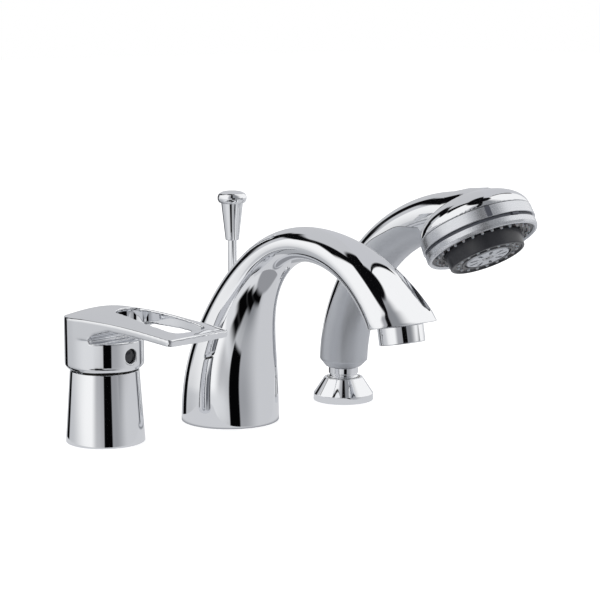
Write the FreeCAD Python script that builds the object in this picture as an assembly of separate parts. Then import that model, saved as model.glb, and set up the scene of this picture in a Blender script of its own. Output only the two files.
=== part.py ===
"""Three-hole bath mixer: a lever control, an arched spout with a pull-up diverter and a hand shower.

Millimetres, +Z up. The origin is the centre of the spout's seat on the deck. The row of holes runs
along X, and the spout points along -Y, towards the bather.
"""
import FreeCAD, Part
import math
import os

Vector = FreeCAD.Vector

# Driving dimensions: the deck and the row of holes
hole_pitch = 95.0
deck_thickness = 10.0
shank_length = 46.0
shank_end_length = 22.0
shank_end_step = 0.4
gasket_thickness = 2.0
clamp_washer_thickness = 3.0
thrust_ring_thickness = 1.5
backnut_height = 8.0

# Driving dimensions: clearances
thread_gap = 0.1
running_gap = 0.05
slip_gap = 0.3
press_gap = 0.02

# Driving dimensions: lever control
control_shank_radius = 16.0
skirt_base_radius = 24.0
skirt_top_radius = 21.0
skirt_height = 44.0
skirt_wall = 1.5
cartridge_radius = 17.5
body_wall = 1.7
cartridge_floor = 14.0
port_radius = 4.2
port_circle = 9.5
drum_radius = 24.0
drum_rim_radius = 21.9
drum_gap = 1.2
drum_chamfer = 2.5
drum_front_height = 18.3
lever_pivot_height = 37.0
lever_tilt = 25.0
lever_rest_angle = 8.4
lever_reach = 82.0
lever_tip_width = 48.6
lever_tip_height = 74.7
lever_tip_thickness = 5.0
hood_height = 83.3
hood_crest_reach = 10.0
hood_fall_reach = 26.0
stem_width = 8.0
index_hole_radius = 4.4
index_height = 54.7

# Driving dimensions: spout
spout_shank_radius = 16.0
spout_base_radius = 31.0
spout_rim_radius = 30.4
spout_crown_reach = 81.6
spout_crown_height = 119.7
spout_crown_width = 28.0
spout_crown_depth = 20.8
spout_climb_share = 0.62
spout_lean = 1.118
spout_fall_radius = 102.0
spout_fall_angle = 49.5
spout_end_width = 46.2
spout_end_depth = 27.0
spout_wall = 3.0
mouth_drop = 2.7
mouth_tilt = 11.0
aerator_radius = 13.25
aerator_length = 10.3
aerator_thread_radius = 11.9
rod_radius = 2.75
rod_reach = 3.0
rod_top = 139.0
knob_foot_radius = 4.2
knob_foot_height = 115.0
knob_neck_radius = 6.85
knob_head_radius = 9.2
knob_height = 146.0
diverter_lift = 10.0

# Driving dimensions: hand shower holder
holder_shank_radius = 12.0
hose_bore_radius = 8.0
holder_base_radius = 19.9
holder_edge_height = 4.7
holder_top_radius = 12.7
holder_height = 15.5

# Driving dimensions: hand shower
coupling_radius = 9.9
handle_foot_radius = 11.6
handle_radius = 15.85
handle_bottom = 22.9
handle_spine_reach = 118.0
handle_spine_height = 111.0
neck_width = 29.0
neck_depth = 28.5
shell_wall = 2.4
face_reach = 129.7
face_height = 115.7
face_tilt = 30.2
face_radius = 34.2
bezel_radius = 35.4
bezel_height = 5.2
groove_height = 1.8
collar_radius = 36.0
collar_height = 7.4
dome_height = 18.2
centre_disc_radius = 25.0
centre_disc_rise = 8.0
nozzle_count = 30
nozzle_radius = 0.9

os.makedirs("parts", exist_ok=True)


def at(x, y=0.0, z=0.0):
    return Vector(x, y, z)


def moved(shape, x=0.0, y=0.0, z=0.0):
    copy = shape.copy()
    copy.translate(at(x, y, z))
    return copy


def turned_by(shape, angle, axis=Vector(0, 0, 1), centre=Vector(0, 0, 0)):
    copy = shape.copy()
    copy.rotate(centre, axis, angle)
    return copy


def rod(radius, bottom, top, x=0.0, y=0.0):
    return Part.makeCylinder(radius, top - bottom, at(x, y, bottom))


def cone(bottom_radius, top_radius, bottom, top):
    return Part.makeCone(bottom_radius, top_radius, top - bottom, at(0, 0, bottom))


def ring(inner, outer, bottom, top):
    return rod(outer, bottom, top).cut(rod(inner, bottom - 1, top + 1))


def revolved(profile):
    """Solid of a closed outline of (radius, height) points turned about Z."""
    points = [at(radius, 0, height) for radius, height in profile]
    face = Part.Face(Part.makePolygon(points + [points[0]]))
    return face.revolve(at(0), at(0, 0, 1), 360)


def o_ring(mean_radius, cord_radius, height):
    return Part.makeTorus(mean_radius, cord_radius, at(0, 0, height))


def hexagon(across_flats, bottom, top):
    corner = across_flats / math.sqrt(3)
    turns = [i * math.pi / 3 for i in range(7)]
    points = [at(corner * math.cos(turn), corner * math.sin(turn), bottom) for turn in turns]
    return Part.Face(Part.makePolygon(points)).extrude(at(0, 0, top - bottom))


def rounded_wire(corners, place):
    """Closed wire through (a, b, radius) corners, each rounded by an arc; place maps (a, b) to space."""
    edges = []
    count = len(corners)
    ends = []
    for i in range(count):
        before = FreeCAD.Vector(*corners[i - 1][:2], 0)
        here = FreeCAD.Vector(*corners[i][:2], 0)
        after = FreeCAD.Vector(*corners[(i + 1) % count][:2], 0)
        back = (before - here).normalize()
        on = (after - here).normalize()
        radius = corners[i][2]
        half = back.getAngle(on) / 2
        if radius == 0:
            ends.append((here, here, here))
            continue
        reach = radius / math.tan(half)
        middle = (back + on).normalize() * (radius / math.sin(half) - radius)
        ends.append((here + back * reach, here + middle, here + on * reach))
    for i in range(count):
        start, middle, stop = [place(p.x, p.y) for p in ends[i]]
        following = place(ends[(i + 1) % count][0].x, ends[(i + 1) % count][0].y)
        if corners[i][2] > 0:
            edges.append(Part.Arc(start, middle, stop).toShape())
        if stop.distanceToPoint(following) > 1e-4:
            edges.append(Part.LineSegment(stop, following).toShape())
    return Part.Wire(edges)


def ellipse_wire(centre, half_width, half_depth, slope):
    """Ellipse across X and across a line in the YZ plane that leans back from +Y by the slope."""
    depth_way = at(0, math.cos(slope), math.sin(slope))
    width_way = at(1, 0, 0)
    if half_depth > half_width:
        curve = Part.Ellipse(centre + depth_way * half_depth, centre + width_way * half_width, centre)
    else:
        curve = Part.Ellipse(centre + width_way * half_width, centre + depth_way * half_depth, centre)
    return Part.Wire(curve.toShape())


def crown_edge(rim, rise):
    """Quarter of an ellipse in the XZ plane, from a point at the rim up to the axis, level at the top."""
    points = []
    for i in range(7):
        turn = i * math.pi / 12
        points.append(at(rim.x * math.cos(turn), 0, rim.z + rise * math.sin(turn)))
    curve = Part.BSplineCurve()
    curve.interpolate(Points=points, InitialTangent=at(0, 0, 1), FinalTangent=at(-1))
    return curve.toShape()


def smooth_step(share):
    share = min(max(share, 0.0), 1.0)
    return share * share * (3 - 2 * share)


def save(name, *solids):
    shape = solids[0] if len(solids) == 1 else Part.makeCompound(list(solids))
    assert shape.isValid(), name
    shape.exportStep("parts/" + name + ".step")


# Fixings under the deck: each unit is clamped by a rubber washer, a steel ring and a brass nut
def fixings(unit, x, shank_radius):
    seat = -deck_thickness
    washer_bottom = seat - clamp_washer_thickness
    ring_bottom = washer_bottom - thrust_ring_thickness
    nut_bottom = ring_bottom - backnut_height
    bore = shank_radius + thread_gap
    save(unit + "_clamp_washer", moved(ring(bore, shank_radius + 9, washer_bottom, seat), x))
    save(unit + "_thrust_ring", moved(ring(bore, shank_radius + 8, ring_bottom, washer_bottom), x))
    nut = hexagon(2 * shank_radius + 9, nut_bottom, ring_bottom)
    rim_radius = shank_radius + 3.6
    nut = nut.common(cone(rim_radius, rim_radius + 2 * backnut_height, nut_bottom, ring_bottom))
    nut = nut.cut(rod(bore, nut_bottom - 1, ring_bottom + 1))
    save(unit + "_backnut", moved(nut, x))


control_x = -hole_pitch
holder_x = hole_pitch
shank_bottom = -shank_length
shank_step = shank_bottom + shank_end_length


def shank(radius, top):
    """Round bar down through the deck, turned down a little below the nut for the pipe union."""
    return rod(radius, shank_step, top).fuse(rod(radius - shank_end_step, shank_bottom, shank_step))


fixings("control", control_x, control_shank_radius)
fixings("spout", 0.0, spout_shank_radius)
fixings("holder", holder_x, holder_shank_radius)


# Control body: brass casting with the threaded shank, three water ways and the cartridge chamber
chamber_radius = cartridge_radius + thread_gap
barrel_radius = chamber_radius + body_wall
skirt_lip = skirt_height - skirt_wall
flange_radius = skirt_base_radius - skirt_wall - 1.1
flange_top = gasket_thickness + 4


def skirt_inner_radius(height):
    slope = (skirt_base_radius - skirt_top_radius) / skirt_height
    return skirt_base_radius - skirt_wall - slope * height


def port_centres():
    turns = [math.radians(90 + 120 * i) for i in range(3)]
    return [(port_circle * math.cos(turn), port_circle * math.sin(turn)) for turn in turns]


def drilled(shape, radius, bottom, top):
    for x, y in port_centres():
        shape = shape.cut(rod(radius, bottom, top, x, y))
    return shape


seal_cord = 0.8
seal_height = 30.0
seal_mean_radius = barrel_radius - 0.3 + 0.2
body = shank(control_shank_radius, cartridge_floor)
body = body.fuse(rod(flange_radius, gasket_thickness, flange_top))
body = body.fuse(rod(barrel_radius, gasket_thickness, skirt_lip)).removeSplitter()
body = body.cut(rod(chamber_radius, cartridge_floor, skirt_height + 1))
body = drilled(body, port_radius, shank_bottom - 1, cartridge_floor + 1)
seal_seat = seal_mean_radius - seal_cord - press_gap
body = body.cut(ring(seal_seat, barrel_radius + 2, seal_height - 1, seal_height + 1))
save("control_body", moved(body, control_x))
gasket = ring(control_shank_radius + slip_gap, skirt_base_radius - skirt_wall - slip_gap, 0, gasket_thickness)
save("control_gasket", moved(gasket, control_x))
save("skirt_seal", moved(o_ring(seal_mean_radius, seal_cord, seal_height), control_x))

# Control skirt: spun chrome cone that drops over the body and closes round the cartridge nut
nut_radius = cartridge_radius - thread_gap
lip_bore = nut_radius + slip_gap
skirt = revolved([
    (skirt_base_radius, 0), (skirt_top_radius, skirt_height), (lip_bore, skirt_height), (lip_bore, skirt_lip),
    (skirt_inner_radius(skirt_lip), skirt_lip), (skirt_inner_radius(0), 0)])
save("control_skirt", moved(skirt, control_x))

# Cartridge, fixed half: base with three seals, ceramic disc, housing and the nut that holds it down
base_lift = 0.3
base_top = 19.0
fixed_disc_top = base_top + 3
housing_wall = 1.7
housing_inner = cartridge_radius - housing_wall
neck_radius = 13.3
carrier_radius = 11.4
shoulder_height = 40.0
neck_top = 47.0
carrier_shelf = 35.3
port_seal_cord = 0.9
base = rod(cartridge_radius - 0.2, cartridge_floor + base_lift, base_top)
base = drilled(base, port_radius, cartridge_floor, base_top + 1)
port_seals = []
for x, y in port_centres():
    seal = o_ring(port_radius + port_seal_cord + 0.2, port_seal_cord, cartridge_floor + port_seal_cord)
    seal = moved(seal, x, y)
    port_seals.append(seal)
    groove_top = cartridge_floor + 2 * port_seal_cord + press_gap
    groove = ring(port_radius - 0.1, port_radius + 2 * port_seal_cord + 0.4, cartridge_floor, groove_top)
    base = base.cut(moved(groove, x, y))
save("cartridge_base", moved(base, control_x))
save("cartridge_port_seals", *[moved(seal, control_x) for seal in port_seals])
disc = drilled(rod(housing_inner - 0.2, base_top, fixed_disc_top), 3.2, base_top - 1, fixed_disc_top + 1)
save("fixed_disc", moved(disc, control_x))
housing = revolved([
    (housing_inner, base_top), (cartridge_radius, base_top), (cartridge_radius, shoulder_height),
    (neck_radius, shoulder_height), (neck_radius, neck_top), (carrier_radius + running_gap, neck_top),
    (carrier_radius + running_gap, carrier_shelf + slip_gap), (housing_inner, carrier_shelf + slip_gap)])
save("cartridge_housing", moved(housing, control_x))
nut_top = shoulder_height + 4.8
nut = ring(neck_radius + thread_gap, nut_radius, shoulder_height, nut_top)
for i in range(4):
    slot = Part.makeBox(4, 2 * nut_radius, 2, at(-2, 0, nut_top - 2))
    nut = nut.cut(turned_by(slot, 90 * i))
save("cartridge_nut", moved(nut, control_x))

# Cartridge, turning half: the carrier turns in the neck, and the stem tilts in it on a steel pin
lever_axis = math.radians(lever_rest_angle)


def on_lever(shape):
    """Built pointing along -Y over the origin; turned to the lever's rest and moved to the control."""
    return moved(turned_by(shape, lever_rest_angle), control_x)


pin_radius = 1.5
ball_radius = 3.0
ball_height = 28.5
disc_travel = (lever_pivot_height - ball_height) * math.sin(math.radians(lever_tilt))
disc_offset = disc_travel / 2
carrier_bottom = 32.3
carrier_top = neck_top - 0.5
stem_half = stem_width / 2
slot_back = stem_half + (carrier_top - lever_pivot_height) * math.tan(math.radians(lever_tilt)) + 1
carrier = rod(carrier_radius, carrier_bottom, carrier_top)
carrier = carrier.fuse(rod(housing_inner - slip_gap, carrier_bottom, carrier_shelf)).removeSplitter()
slot_size = (2 * stem_half + 2 * slip_gap, slot_back + stem_half + 3.6, carrier_top - carrier_bottom + 2)
slot = Part.makeBox(*slot_size, at(-stem_half - slip_gap, -stem_half - 3.6, carrier_bottom - 1))
carrier = carrier.cut(slot)
pin_end = at(0.4 - carrier_radius, 0, lever_pivot_height)
pin = Part.makeCylinder(pin_radius, 2 * carrier_radius - 0.8, pin_end, at(1))
carrier = carrier.cut(Part.makeCylinder(pin_radius + press_gap, 40, at(-20, 0, lever_pivot_height), at(1)))
save("temperature_carrier", on_lever(carrier))
save("pivot_pin", on_lever(pin))

moving_disc_bottom = fixed_disc_top + running_gap
moving_disc_top = moving_disc_bottom + 3
driver_top = ball_height + 2.7
disc_radius = housing_inner - disc_offset - slip_gap - 0.4
moving_disc = rod(disc_radius, moving_disc_bottom, moving_disc_top)
moving_disc = moving_disc.cut(rod(5.0, moving_disc_bottom - 1, moving_disc_bottom + 1.2))
driver = rod(disc_radius - 0.3, moving_disc_top, driver_top)
driver = driver.cut(rod(ball_radius + 0.15, moving_disc_top + 0.3, driver_top + 1, 0, -disc_offset))
save("moving_disc", on_lever(moved(moving_disc, 0, disc_offset)))
save("disc_driver", on_lever(moved(driver, 0, disc_offset)))

# Lever stem: square steel bar with a turned ball foot
drum_bottom = skirt_height + drum_gap
cavity_top = 54.5
stem_top = 61.0
stem = Part.makeBox(stem_width, stem_width, stem_top - 33.5, at(-stem_half, -stem_half, 33.5))
stem = stem.common(rod(stem_half * 1.3, 33, stem_top + 1))
stem = stem.fuse(rod(1.8, ball_height, 34)).fuse(Part.makeSphere(ball_radius, at(0, 0, ball_height)))
stem = stem.cut(Part.makeCylinder(pin_radius + running_gap, 20, at(-10, 0, lever_pivot_height), at(1)))
save("lever_stem", on_lever(stem))


# Lever handle: die-cast drum with a crowned hood that runs out into a flat loop
def hood_share(reach):
    if reach <= hood_crest_reach:
        return 1 - 0.95 * ((hood_crest_reach - reach) / (hood_crest_reach + drum_radius)) ** 2
    return 1 - (max(reach - hood_fall_reach, 0.0) / (lever_reach - hood_fall_reach)) ** 1.7


def hood_section(reach):
    half = drum_radius + 6
    top = lever_tip_height + (hood_height - lever_tip_height) * hood_share(reach)
    drop = (0.6 + 5.0 * max(hood_share(reach), 0.0)) * (half / drum_radius) ** 2
    side = top - drop
    floor = drum_bottom - 4
    points = [at(-half, -reach, floor), at(half, -reach, floor), at(half, -reach, side)]
    edges = [Part.LineSegment(points[0], points[1]).toShape()]
    edges.append(Part.LineSegment(points[1], points[2]).toShape())
    edges.append(Part.Arc(points[2], at(0, -reach, top), at(-half, -reach, side)).toShape())
    edges.append(Part.LineSegment(at(-half, -reach, side), points[0]).toShape())
    return Part.Wire(edges)


stations = [-drum_radius - 3 + i * (lever_reach + drum_radius + 6) / 9 for i in range(10)]
hood = Part.makeLoft([hood_section(reach) for reach in stations], True, False)


drum_front_top = drum_bottom + drum_front_height


def plan(x, reach):
    return at(x, -reach, drum_bottom - 2)


def loop_plan(x, reach):
    return at(x, -reach, drum_front_top + 2)


tip_half = lever_tip_width / 2
arm = rounded_wire([
    (-drum_radius, 0, 0), (-tip_half, lever_reach - 0.8, 3), (0, lever_reach + 0.6, 60),
    (tip_half, lever_reach - 0.8, 3), (drum_radius, 0, 0)], plan)
arm = Part.Face(arm).extrude(at(0, 0, 60))
drum = rod(drum_radius, drum_bottom - 2, drum_bottom + 58)
handle = hood.common(drum.fuse(arm))
loop_front = lever_reach - 7.4
loop_half = 14.4
loop_back = hood_crest_reach + 7.5
loop = rounded_wire([
    (-9.5, loop_back, 8), (-loop_half, loop_front - 23, 60), (-loop_half + 1.2, loop_front, 7),
    (0, loop_front + 1.5, 40),
    (loop_half - 1.2, loop_front, 7), (loop_half, loop_front - 23, 60), (9.5, loop_back, 8)], loop_plan)
handle = handle.cut(Part.Face(loop).extrude(at(0, 0, 60)))


def side_view(reach, height):
    return at(-drum_radius - 8, -reach, height)


arm_under = lever_tip_height - lever_tip_thickness
arch = rounded_wire([
    (9, drum_front_top, 1), (15, drum_front_top + 6.0, 10), (29, arm_under + 3.8, 12),
    (50, arm_under + 3.0, 60), (lever_reach + 12, arm_under - 0.6, 0),
    (lever_reach + 12, drum_bottom - 8, 0), (drum_radius + 6, drum_bottom - 8, 0),
    (drum_radius + 6, drum_front_top, 0)], side_view)
handle = handle.cut(Part.Face(arch).extrude(at(2 * drum_radius + 16)))
rim_cone = revolved([
    (0, drum_bottom - 6), (drum_rim_radius, drum_bottom - 6), (drum_rim_radius, drum_bottom),
    (drum_radius + 0.001, drum_bottom + drum_chamfer), (drum_radius + 0.001, 120), (0, 120)])
beyond = Part.makeBox(160, 160, 60, at(-80, -80, arm_under - 4))
handle = handle.common(rim_cone.fuse(beyond))
handle = handle.cut(Part.makeBox(160, 160, 20, at(-80, -80, drum_bottom - 20)))
cavity_radius = drum_rim_radius - 0.6
handle = handle.cut(rod(cavity_radius, drum_bottom - 1, cavity_top))
boss_bottom = 48.9
boss_width = 11.0
boss_corner = at(-boss_width / 2, -cavity_radius - 0.5, boss_bottom)
boss = Part.makeBox(boss_width, cavity_radius + 0.5, cavity_top + 1 - boss_bottom, boss_corner)
boss = boss.common(rod(cavity_radius + 0.3, boss_bottom, cavity_top + 1))
handle = handle.fuse(boss)
socket_half = stem_half + thread_gap
socket_corner = at(-socket_half, -socket_half, stem_top - 20 + 0.2)
socket = Part.makeBox(2 * socket_half, 2 * socket_half, 20, socket_corner)
handle = handle.cut(socket)
grub_radius = 2.5
toward = at(0, -1, 0)
handle = handle.cut(Part.makeCylinder(grub_radius, 30, at(0, 0, index_height), toward))
handle = handle.cut(Part.makeCylinder(index_hole_radius, 12, at(0, -drum_radius + 4.5, index_height), toward))
handle = handle.removeSplitter()
save("lever_handle", on_lever(handle))
grub = Part.makeCylinder(grub_radius - thread_gap, 7, at(0, -stem_half - press_gap, index_height), toward)
hex_key = turned_by(hexagon(2.4, 0, 3.0), 90, at(1))
grub = grub.cut(moved(hex_key, 0, -stem_half - 5 + 1.2, index_height))
save("lever_grub_screw", on_lever(grub))


# Spout shell: hollow brass casting swept over the arch in flattened sections
def spout_station(share):
    """Centre, slope, half width and half depth of the section at a share of the way from seat to lip."""
    if share <= spout_climb_share:
        climb = share / spout_climb_share
        turn = climb * math.pi / 2
        y = -spout_crown_reach * (1 - math.cos(turn)) ** spout_lean
        z = spout_crown_height * math.sin(turn)
        steep = (1 - math.cos(turn) + 1e-9) ** (spout_lean - 1)
        dy = -spout_crown_reach * spout_lean * steep * math.sin(turn)
        dz = spout_crown_height * math.cos(turn)
        slope = math.atan2(-dy, dz)
        width_taper = (1 - (1 - climb) ** 3.67) ** 3.78
        depth_taper = (1 - (1 - climb) ** 2.08) ** 1.75
        half_width = spout_base_radius + (spout_crown_width / 2 - spout_base_radius) * width_taper
        half_depth = spout_base_radius + (spout_crown_depth / 2 - spout_base_radius) * depth_taper
    else:
        fall = (share - spout_climb_share) / (1 - spout_climb_share)
        turn = fall * math.radians(spout_fall_angle)
        y = -spout_crown_reach - spout_fall_radius * math.sin(turn)
        z = spout_crown_height - spout_fall_radius * (1 - math.cos(turn))
        slope = math.pi / 2 + turn
        flare = min(fall, 1.0) ** 1.6
        half_width = (spout_crown_width + (spout_end_width - spout_crown_width) * flare) / 2
        half_depth = (spout_crown_depth + (spout_end_depth - spout_crown_depth) * flare) / 2
    return at(0, y, z), slope, half_width, half_depth


def spout_loft(shares, inset):
    wires = []
    for share in shares:
        centre, slope, half_width, half_depth = spout_station(share)
        wires.append(ellipse_wire(centre, half_width - inset, half_depth - inset, slope))
    return Part.makeLoft(wires, True, False)


def on_mouth(shape):
    """Built with the mouth plane at z = 0 and +Z into the spout; placed at the spout's end."""
    end = spout_station(1.0)[0]
    return moved(turned_by(shape, -mouth_tilt, at(1)), 0, end.y, end.z - mouth_drop)


outer_shares = [0.05 + i * 1.08 / 17 for i in range(18)]
shell = spout_loft(outer_shares, 0.0)
foot_centre, foot_slope, foot_width, foot_depth = spout_station(outer_shares[0])
foot = Part.makeLoft([
    ellipse_wire(at(0), spout_rim_radius, spout_rim_radius - 0.001, 0),
    ellipse_wire(at(0, 0, 2.2), spout_base_radius, spout_base_radius - 0.001, 0),
    ellipse_wire(foot_centre, foot_width, foot_depth, foot_slope)], True, True)
shell = shell.fuse(foot)
beyond_mouth = on_mouth(Part.makeBox(120, 90, 60, at(-60, -60, -60)))
shell = shell.cut(beyond_mouth)
spout_outside = shell
inner_shares = [0.10 + i * 0.92 / 12 for i in range(13)]
hollow = spout_loft(inner_shares, spout_wall)
mouth_floor = 9.0
hollow = hollow.cut(on_mouth(Part.makeBox(120, 90, 60, at(-60, -60, mouth_floor - 60))))
inner_centre, inner_slope, inner_width, inner_depth = spout_station(inner_shares[0])
base_recess_radius = 27.0
hollow_foot = Part.makeLoft([
    ellipse_wire(at(0, 0, -1), base_recess_radius, base_recess_radius - 0.001, 0),
    ellipse_wire(at(0, 0, 6), base_recess_radius, base_recess_radius - 0.001, 0),
    ellipse_wire(inner_centre, inner_width - spout_wall, inner_depth - spout_wall, inner_slope)], True, True)
shell = shell.cut(hollow_foot).cut(hollow)
aerator_bore = aerator_thread_radius + thread_gap
shell = shell.cut(on_mouth(rod(aerator_bore, -1, mouth_floor - 2)))
shell = shell.cut(on_mouth(rod(aerator_bore - 2.4, mouth_floor - 3, mouth_floor + 1)))
guide_radius = rod_radius + 1.6
shell = shell.cut(rod(guide_radius + press_gap, 60, 110, 0, -rod_reach))
save("spout_shell", shell)
spout_gasket = ring(spout_shank_radius + slip_gap, base_recess_radius - slip_gap, 0, gasket_thickness)
save("spout_gasket", spout_gasket)

# Diverter: brass valve body in the leg, with the shank that holds the spout to the deck
valve_radius = 14.0
valve_top = 40.0
valve_bore = 9.0
valve_floor = 12.0
valve = shank(spout_shank_radius, valve_floor)
valve = valve.fuse(rod(base_recess_radius - slip_gap, gasket_thickness, gasket_thickness + 4))
valve = valve.fuse(rod(valve_radius, gasket_thickness, valve_top, 0, -rod_reach)).removeSplitter()
valve = valve.cut(rod(valve_bore, valve_floor, valve_top + 1, 0, -rod_reach))
inlet_radius = 4.5
inlet_offset = 7.5
valve = valve.cut(rod(inlet_radius, shank_bottom - 1, valve_floor + 1, -inlet_offset, -rod_reach + 1))
valve = valve.cut(rod(inlet_radius, shank_bottom - 1, gasket_thickness + 5, inlet_offset, -rod_reach + 1))
valve = valve.cut(Part.makeCylinder(3.5, 12, at(inlet_offset, -rod_reach + 1, 8), at(0, 0, 1)))
valve = valve.cut(Part.makeCylinder(4.0, 40, at(-20, -rod_reach, valve_top - 8), at(1)))
save("diverter_body", valve)

gland_top = valve_top + 5
gland = rod(valve_radius - 1, valve_top, gland_top)
gland = gland.fuse(rod(valve_bore - thread_gap, valve_top - 3, valve_top))
gland = gland.removeSplitter()
gland = gland.cut(rod(rod_radius + running_gap, valve_top - 4, gland_top + 1))
gland_seal_cord = 0.75
gland_seal_radius = rod_radius + gland_seal_cord + running_gap
gland_pocket = gland_seal_radius + gland_seal_cord + press_gap
gland_seal_height = valve_top + 2.5
gland = gland.cut(ring(rod_radius, gland_pocket, gland_seal_height - 0.8, gland_seal_height + 0.8))
save("diverter_gland_nut", moved(gland, 0, -rod_reach))
save("gland_seal", moved(o_ring(gland_seal_radius, gland_seal_cord, gland_seal_height), 0, -rod_reach))

# Rod guide: a chrome bush pressed into the back slope of the spout, where the rod comes out
guide_bottom = 72.0
guide = moved(ring(rod_radius + running_gap, guide_radius, guide_bottom, spout_crown_height), 0, -rod_reach)
save("rod_guide", guide.common(spout_outside))

# Pull rod with its piston, cup seal and turned knob: these move up together
piston_bottom = valve_floor + 0.5
piston_top = piston_bottom + 9
piston_radius = valve_bore - running_gap - 0.02
piston_seal_cord = 0.7
piston_seal_height = piston_bottom + 4.5
piston_seal_radius = piston_radius - piston_seal_cord - 0.02
piston = rod(piston_radius, piston_bottom, piston_top)
piston = piston.cut(ring(piston_seal_radius - piston_seal_cord - press_gap, piston_radius + 1,
                         piston_seal_height - 0.8, piston_seal_height + 0.8))
rod_foot = piston_bottom + 2
piston = piston.cut(rod(rod_radius + press_gap, rod_foot, piston_top + 1))
save("diverter_piston", moved(piston, 0, -rod_reach))
save("piston_seal", moved(o_ring(piston_seal_radius, piston_seal_cord, piston_seal_height), 0, -rod_reach))
save("diverter_rod", rod(rod_radius, rod_foot, rod_top, 0, -rod_reach))

neck_height = knob_height - 8
bead = 3.5
knob_points = [at(0, 0, knob_foot_height), at(knob_foot_radius, 0, knob_foot_height)]
knob_edges = [Part.LineSegment(knob_points[0], knob_points[1]).toShape()]
knob_edges.append(Part.LineSegment(knob_points[1], at(knob_neck_radius, 0, neck_height)).toShape())
knob_edges.append(Part.Arc(at(knob_neck_radius, 0, neck_height), at(knob_head_radius, 0, neck_height + bead),
                           at(knob_neck_radius, 0, neck_height + 2 * bead)).toShape())
crown_start = at(knob_neck_radius, 0, neck_height + 2 * bead)
knob_edges.append(crown_edge(crown_start, knob_height - neck_height - 2 * bead))
knob_edges.append(Part.LineSegment(at(0, 0, knob_height), knob_points[0]).toShape())
knob = Part.Face(Part.Wire(knob_edges)).revolve(at(0), at(0, 0, 1), 360)
knob = knob.cut(rod(rod_radius + press_gap, knob_foot_height - 1, rod_top + press_gap))
save("diverter_knob", moved(knob, 0, -rod_reach))


# Diverter spring: steel wire wound round the rod between the piston and the gland
def helix_point(turn, radius, pitch, bottom):
    return at(radius * math.cos(turn), radius * math.sin(turn), bottom + pitch * turn / (2 * math.pi))


def helix_way(turn, radius, pitch):
    return at(-radius * math.sin(turn), radius * math.cos(turn), pitch / (2 * math.pi)).normalize()


def biarc(start, start_way, stop, stop_way):
    """Two arcs that leave and arrive along the given ways and meet smoothly."""
    chord = stop - start
    ways = start_way + stop_way
    a = 2 * (1 - start_way.dot(stop_way))
    b = chord.dot(ways)
    reach = (-b + math.sqrt(b * b + a * chord.dot(chord))) / a
    corner_one = start + start_way * reach
    corner_two = stop - stop_way * reach
    joint = (corner_one + corner_two) * 0.5
    return [arc_by_corner(start, corner_one, joint), arc_by_corner(joint, corner_two, stop)]


def arc_by_corner(start, corner, stop):
    half = (start - corner).getAngle(stop - corner) / 2
    way = ((start + stop) * 0.5 - corner).normalize()
    leg = start.distanceToPoint(corner)
    depth = leg / math.cos(half) - leg * math.tan(half)
    return Part.Arc(start, corner + way * depth, stop).toShape()


spring_wire_radius = 0.5
spring_radius = 5.6
spring_turns = 3.5
spring_bottom = piston_top + spring_wire_radius + 0.05
spring_end = valve_top - 3 - spring_wire_radius - 0.05
spring_pitch = (spring_end - spring_bottom) / spring_turns
quarter = math.pi / 2
spring_edges = []
for i in range(int(spring_turns * 4)):
    first = i * quarter
    second = first + quarter
    spring_edges += biarc(
        helix_point(first, spring_radius, spring_pitch, spring_bottom),
        helix_way(first, spring_radius, spring_pitch),
        helix_point(second, spring_radius, spring_pitch, spring_bottom),
        helix_way(second, spring_radius, spring_pitch))
spring_path = Part.Wire(spring_edges)
spring_start = Part.Circle(helix_point(0, spring_radius, spring_pitch, spring_bottom),
                           helix_way(0, spring_radius, spring_pitch), spring_wire_radius)
spring = spring_path.makePipeShell([Part.Wire(spring_start.toShape())], True, False)
save("diverter_spring", moved(spring, 0, -rod_reach))
turns = [2 * math.pi + k * 0.05 for k in range(-40, 41)]
spring_lift = [helix_point(turn, spring_radius, spring_pitch, spring_bottom) for turn in turns]
spring_from = helix_point(0, spring_radius, spring_pitch, spring_bottom)
spring_space = min(point.distanceToPoint(spring_from) for point in spring_lift) - 2 * spring_wire_radius
print("diverter_spring least gap between turns, mm:", round(spring_space, 3))

# Aerator: chrome threaded ring, sealing washer and the plastic jet insert
aerator_thread = 6.0
aerator_wall = 1.6
ring_part = rod(aerator_radius, -aerator_length, 0)
ring_part = ring_part.fuse(rod(aerator_thread_radius, 0, aerator_thread)).removeSplitter()
insert_radius = aerator_thread_radius - aerator_wall
ring_part = ring_part.cut(rod(insert_radius, -aerator_length + 1.6, aerator_thread + 1))
ring_part = ring_part.cut(rod(insert_radius - 1.0, -aerator_length - 1, 0))
edge_cut = revolved([
    (aerator_radius - 0.6, -aerator_length - 0.1), (aerator_radius + 1, -aerator_length - 0.1),
    (aerator_radius + 1, -aerator_length + 1.0)])
ring_part = ring_part.cut(edge_cut)
save("aerator_housing", on_mouth(ring_part))
insert_bottom = -aerator_length + 1.6
insert = rod(insert_radius - thread_gap, insert_bottom, aerator_thread - 2)
for row in (3.4, 7.2):
    for i in range(int(row * 2.2)):
        turn = 2 * math.pi * i / int(row * 2.2)
        x = row * math.cos(turn)
        y = row * math.sin(turn)
        insert = insert.cut(rod(0.9, insert_bottom - 1, insert_bottom + 2.5, x, y))
insert = insert.cut(rod(insert_radius - 1.4, insert_bottom + 4, aerator_thread))
save("aerator_insert", on_mouth(insert))
washer_top = aerator_thread + 0.98
save("aerator_washer", on_mouth(ring(insert_radius - 1.6, aerator_thread_radius, aerator_thread, washer_top)))

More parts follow.
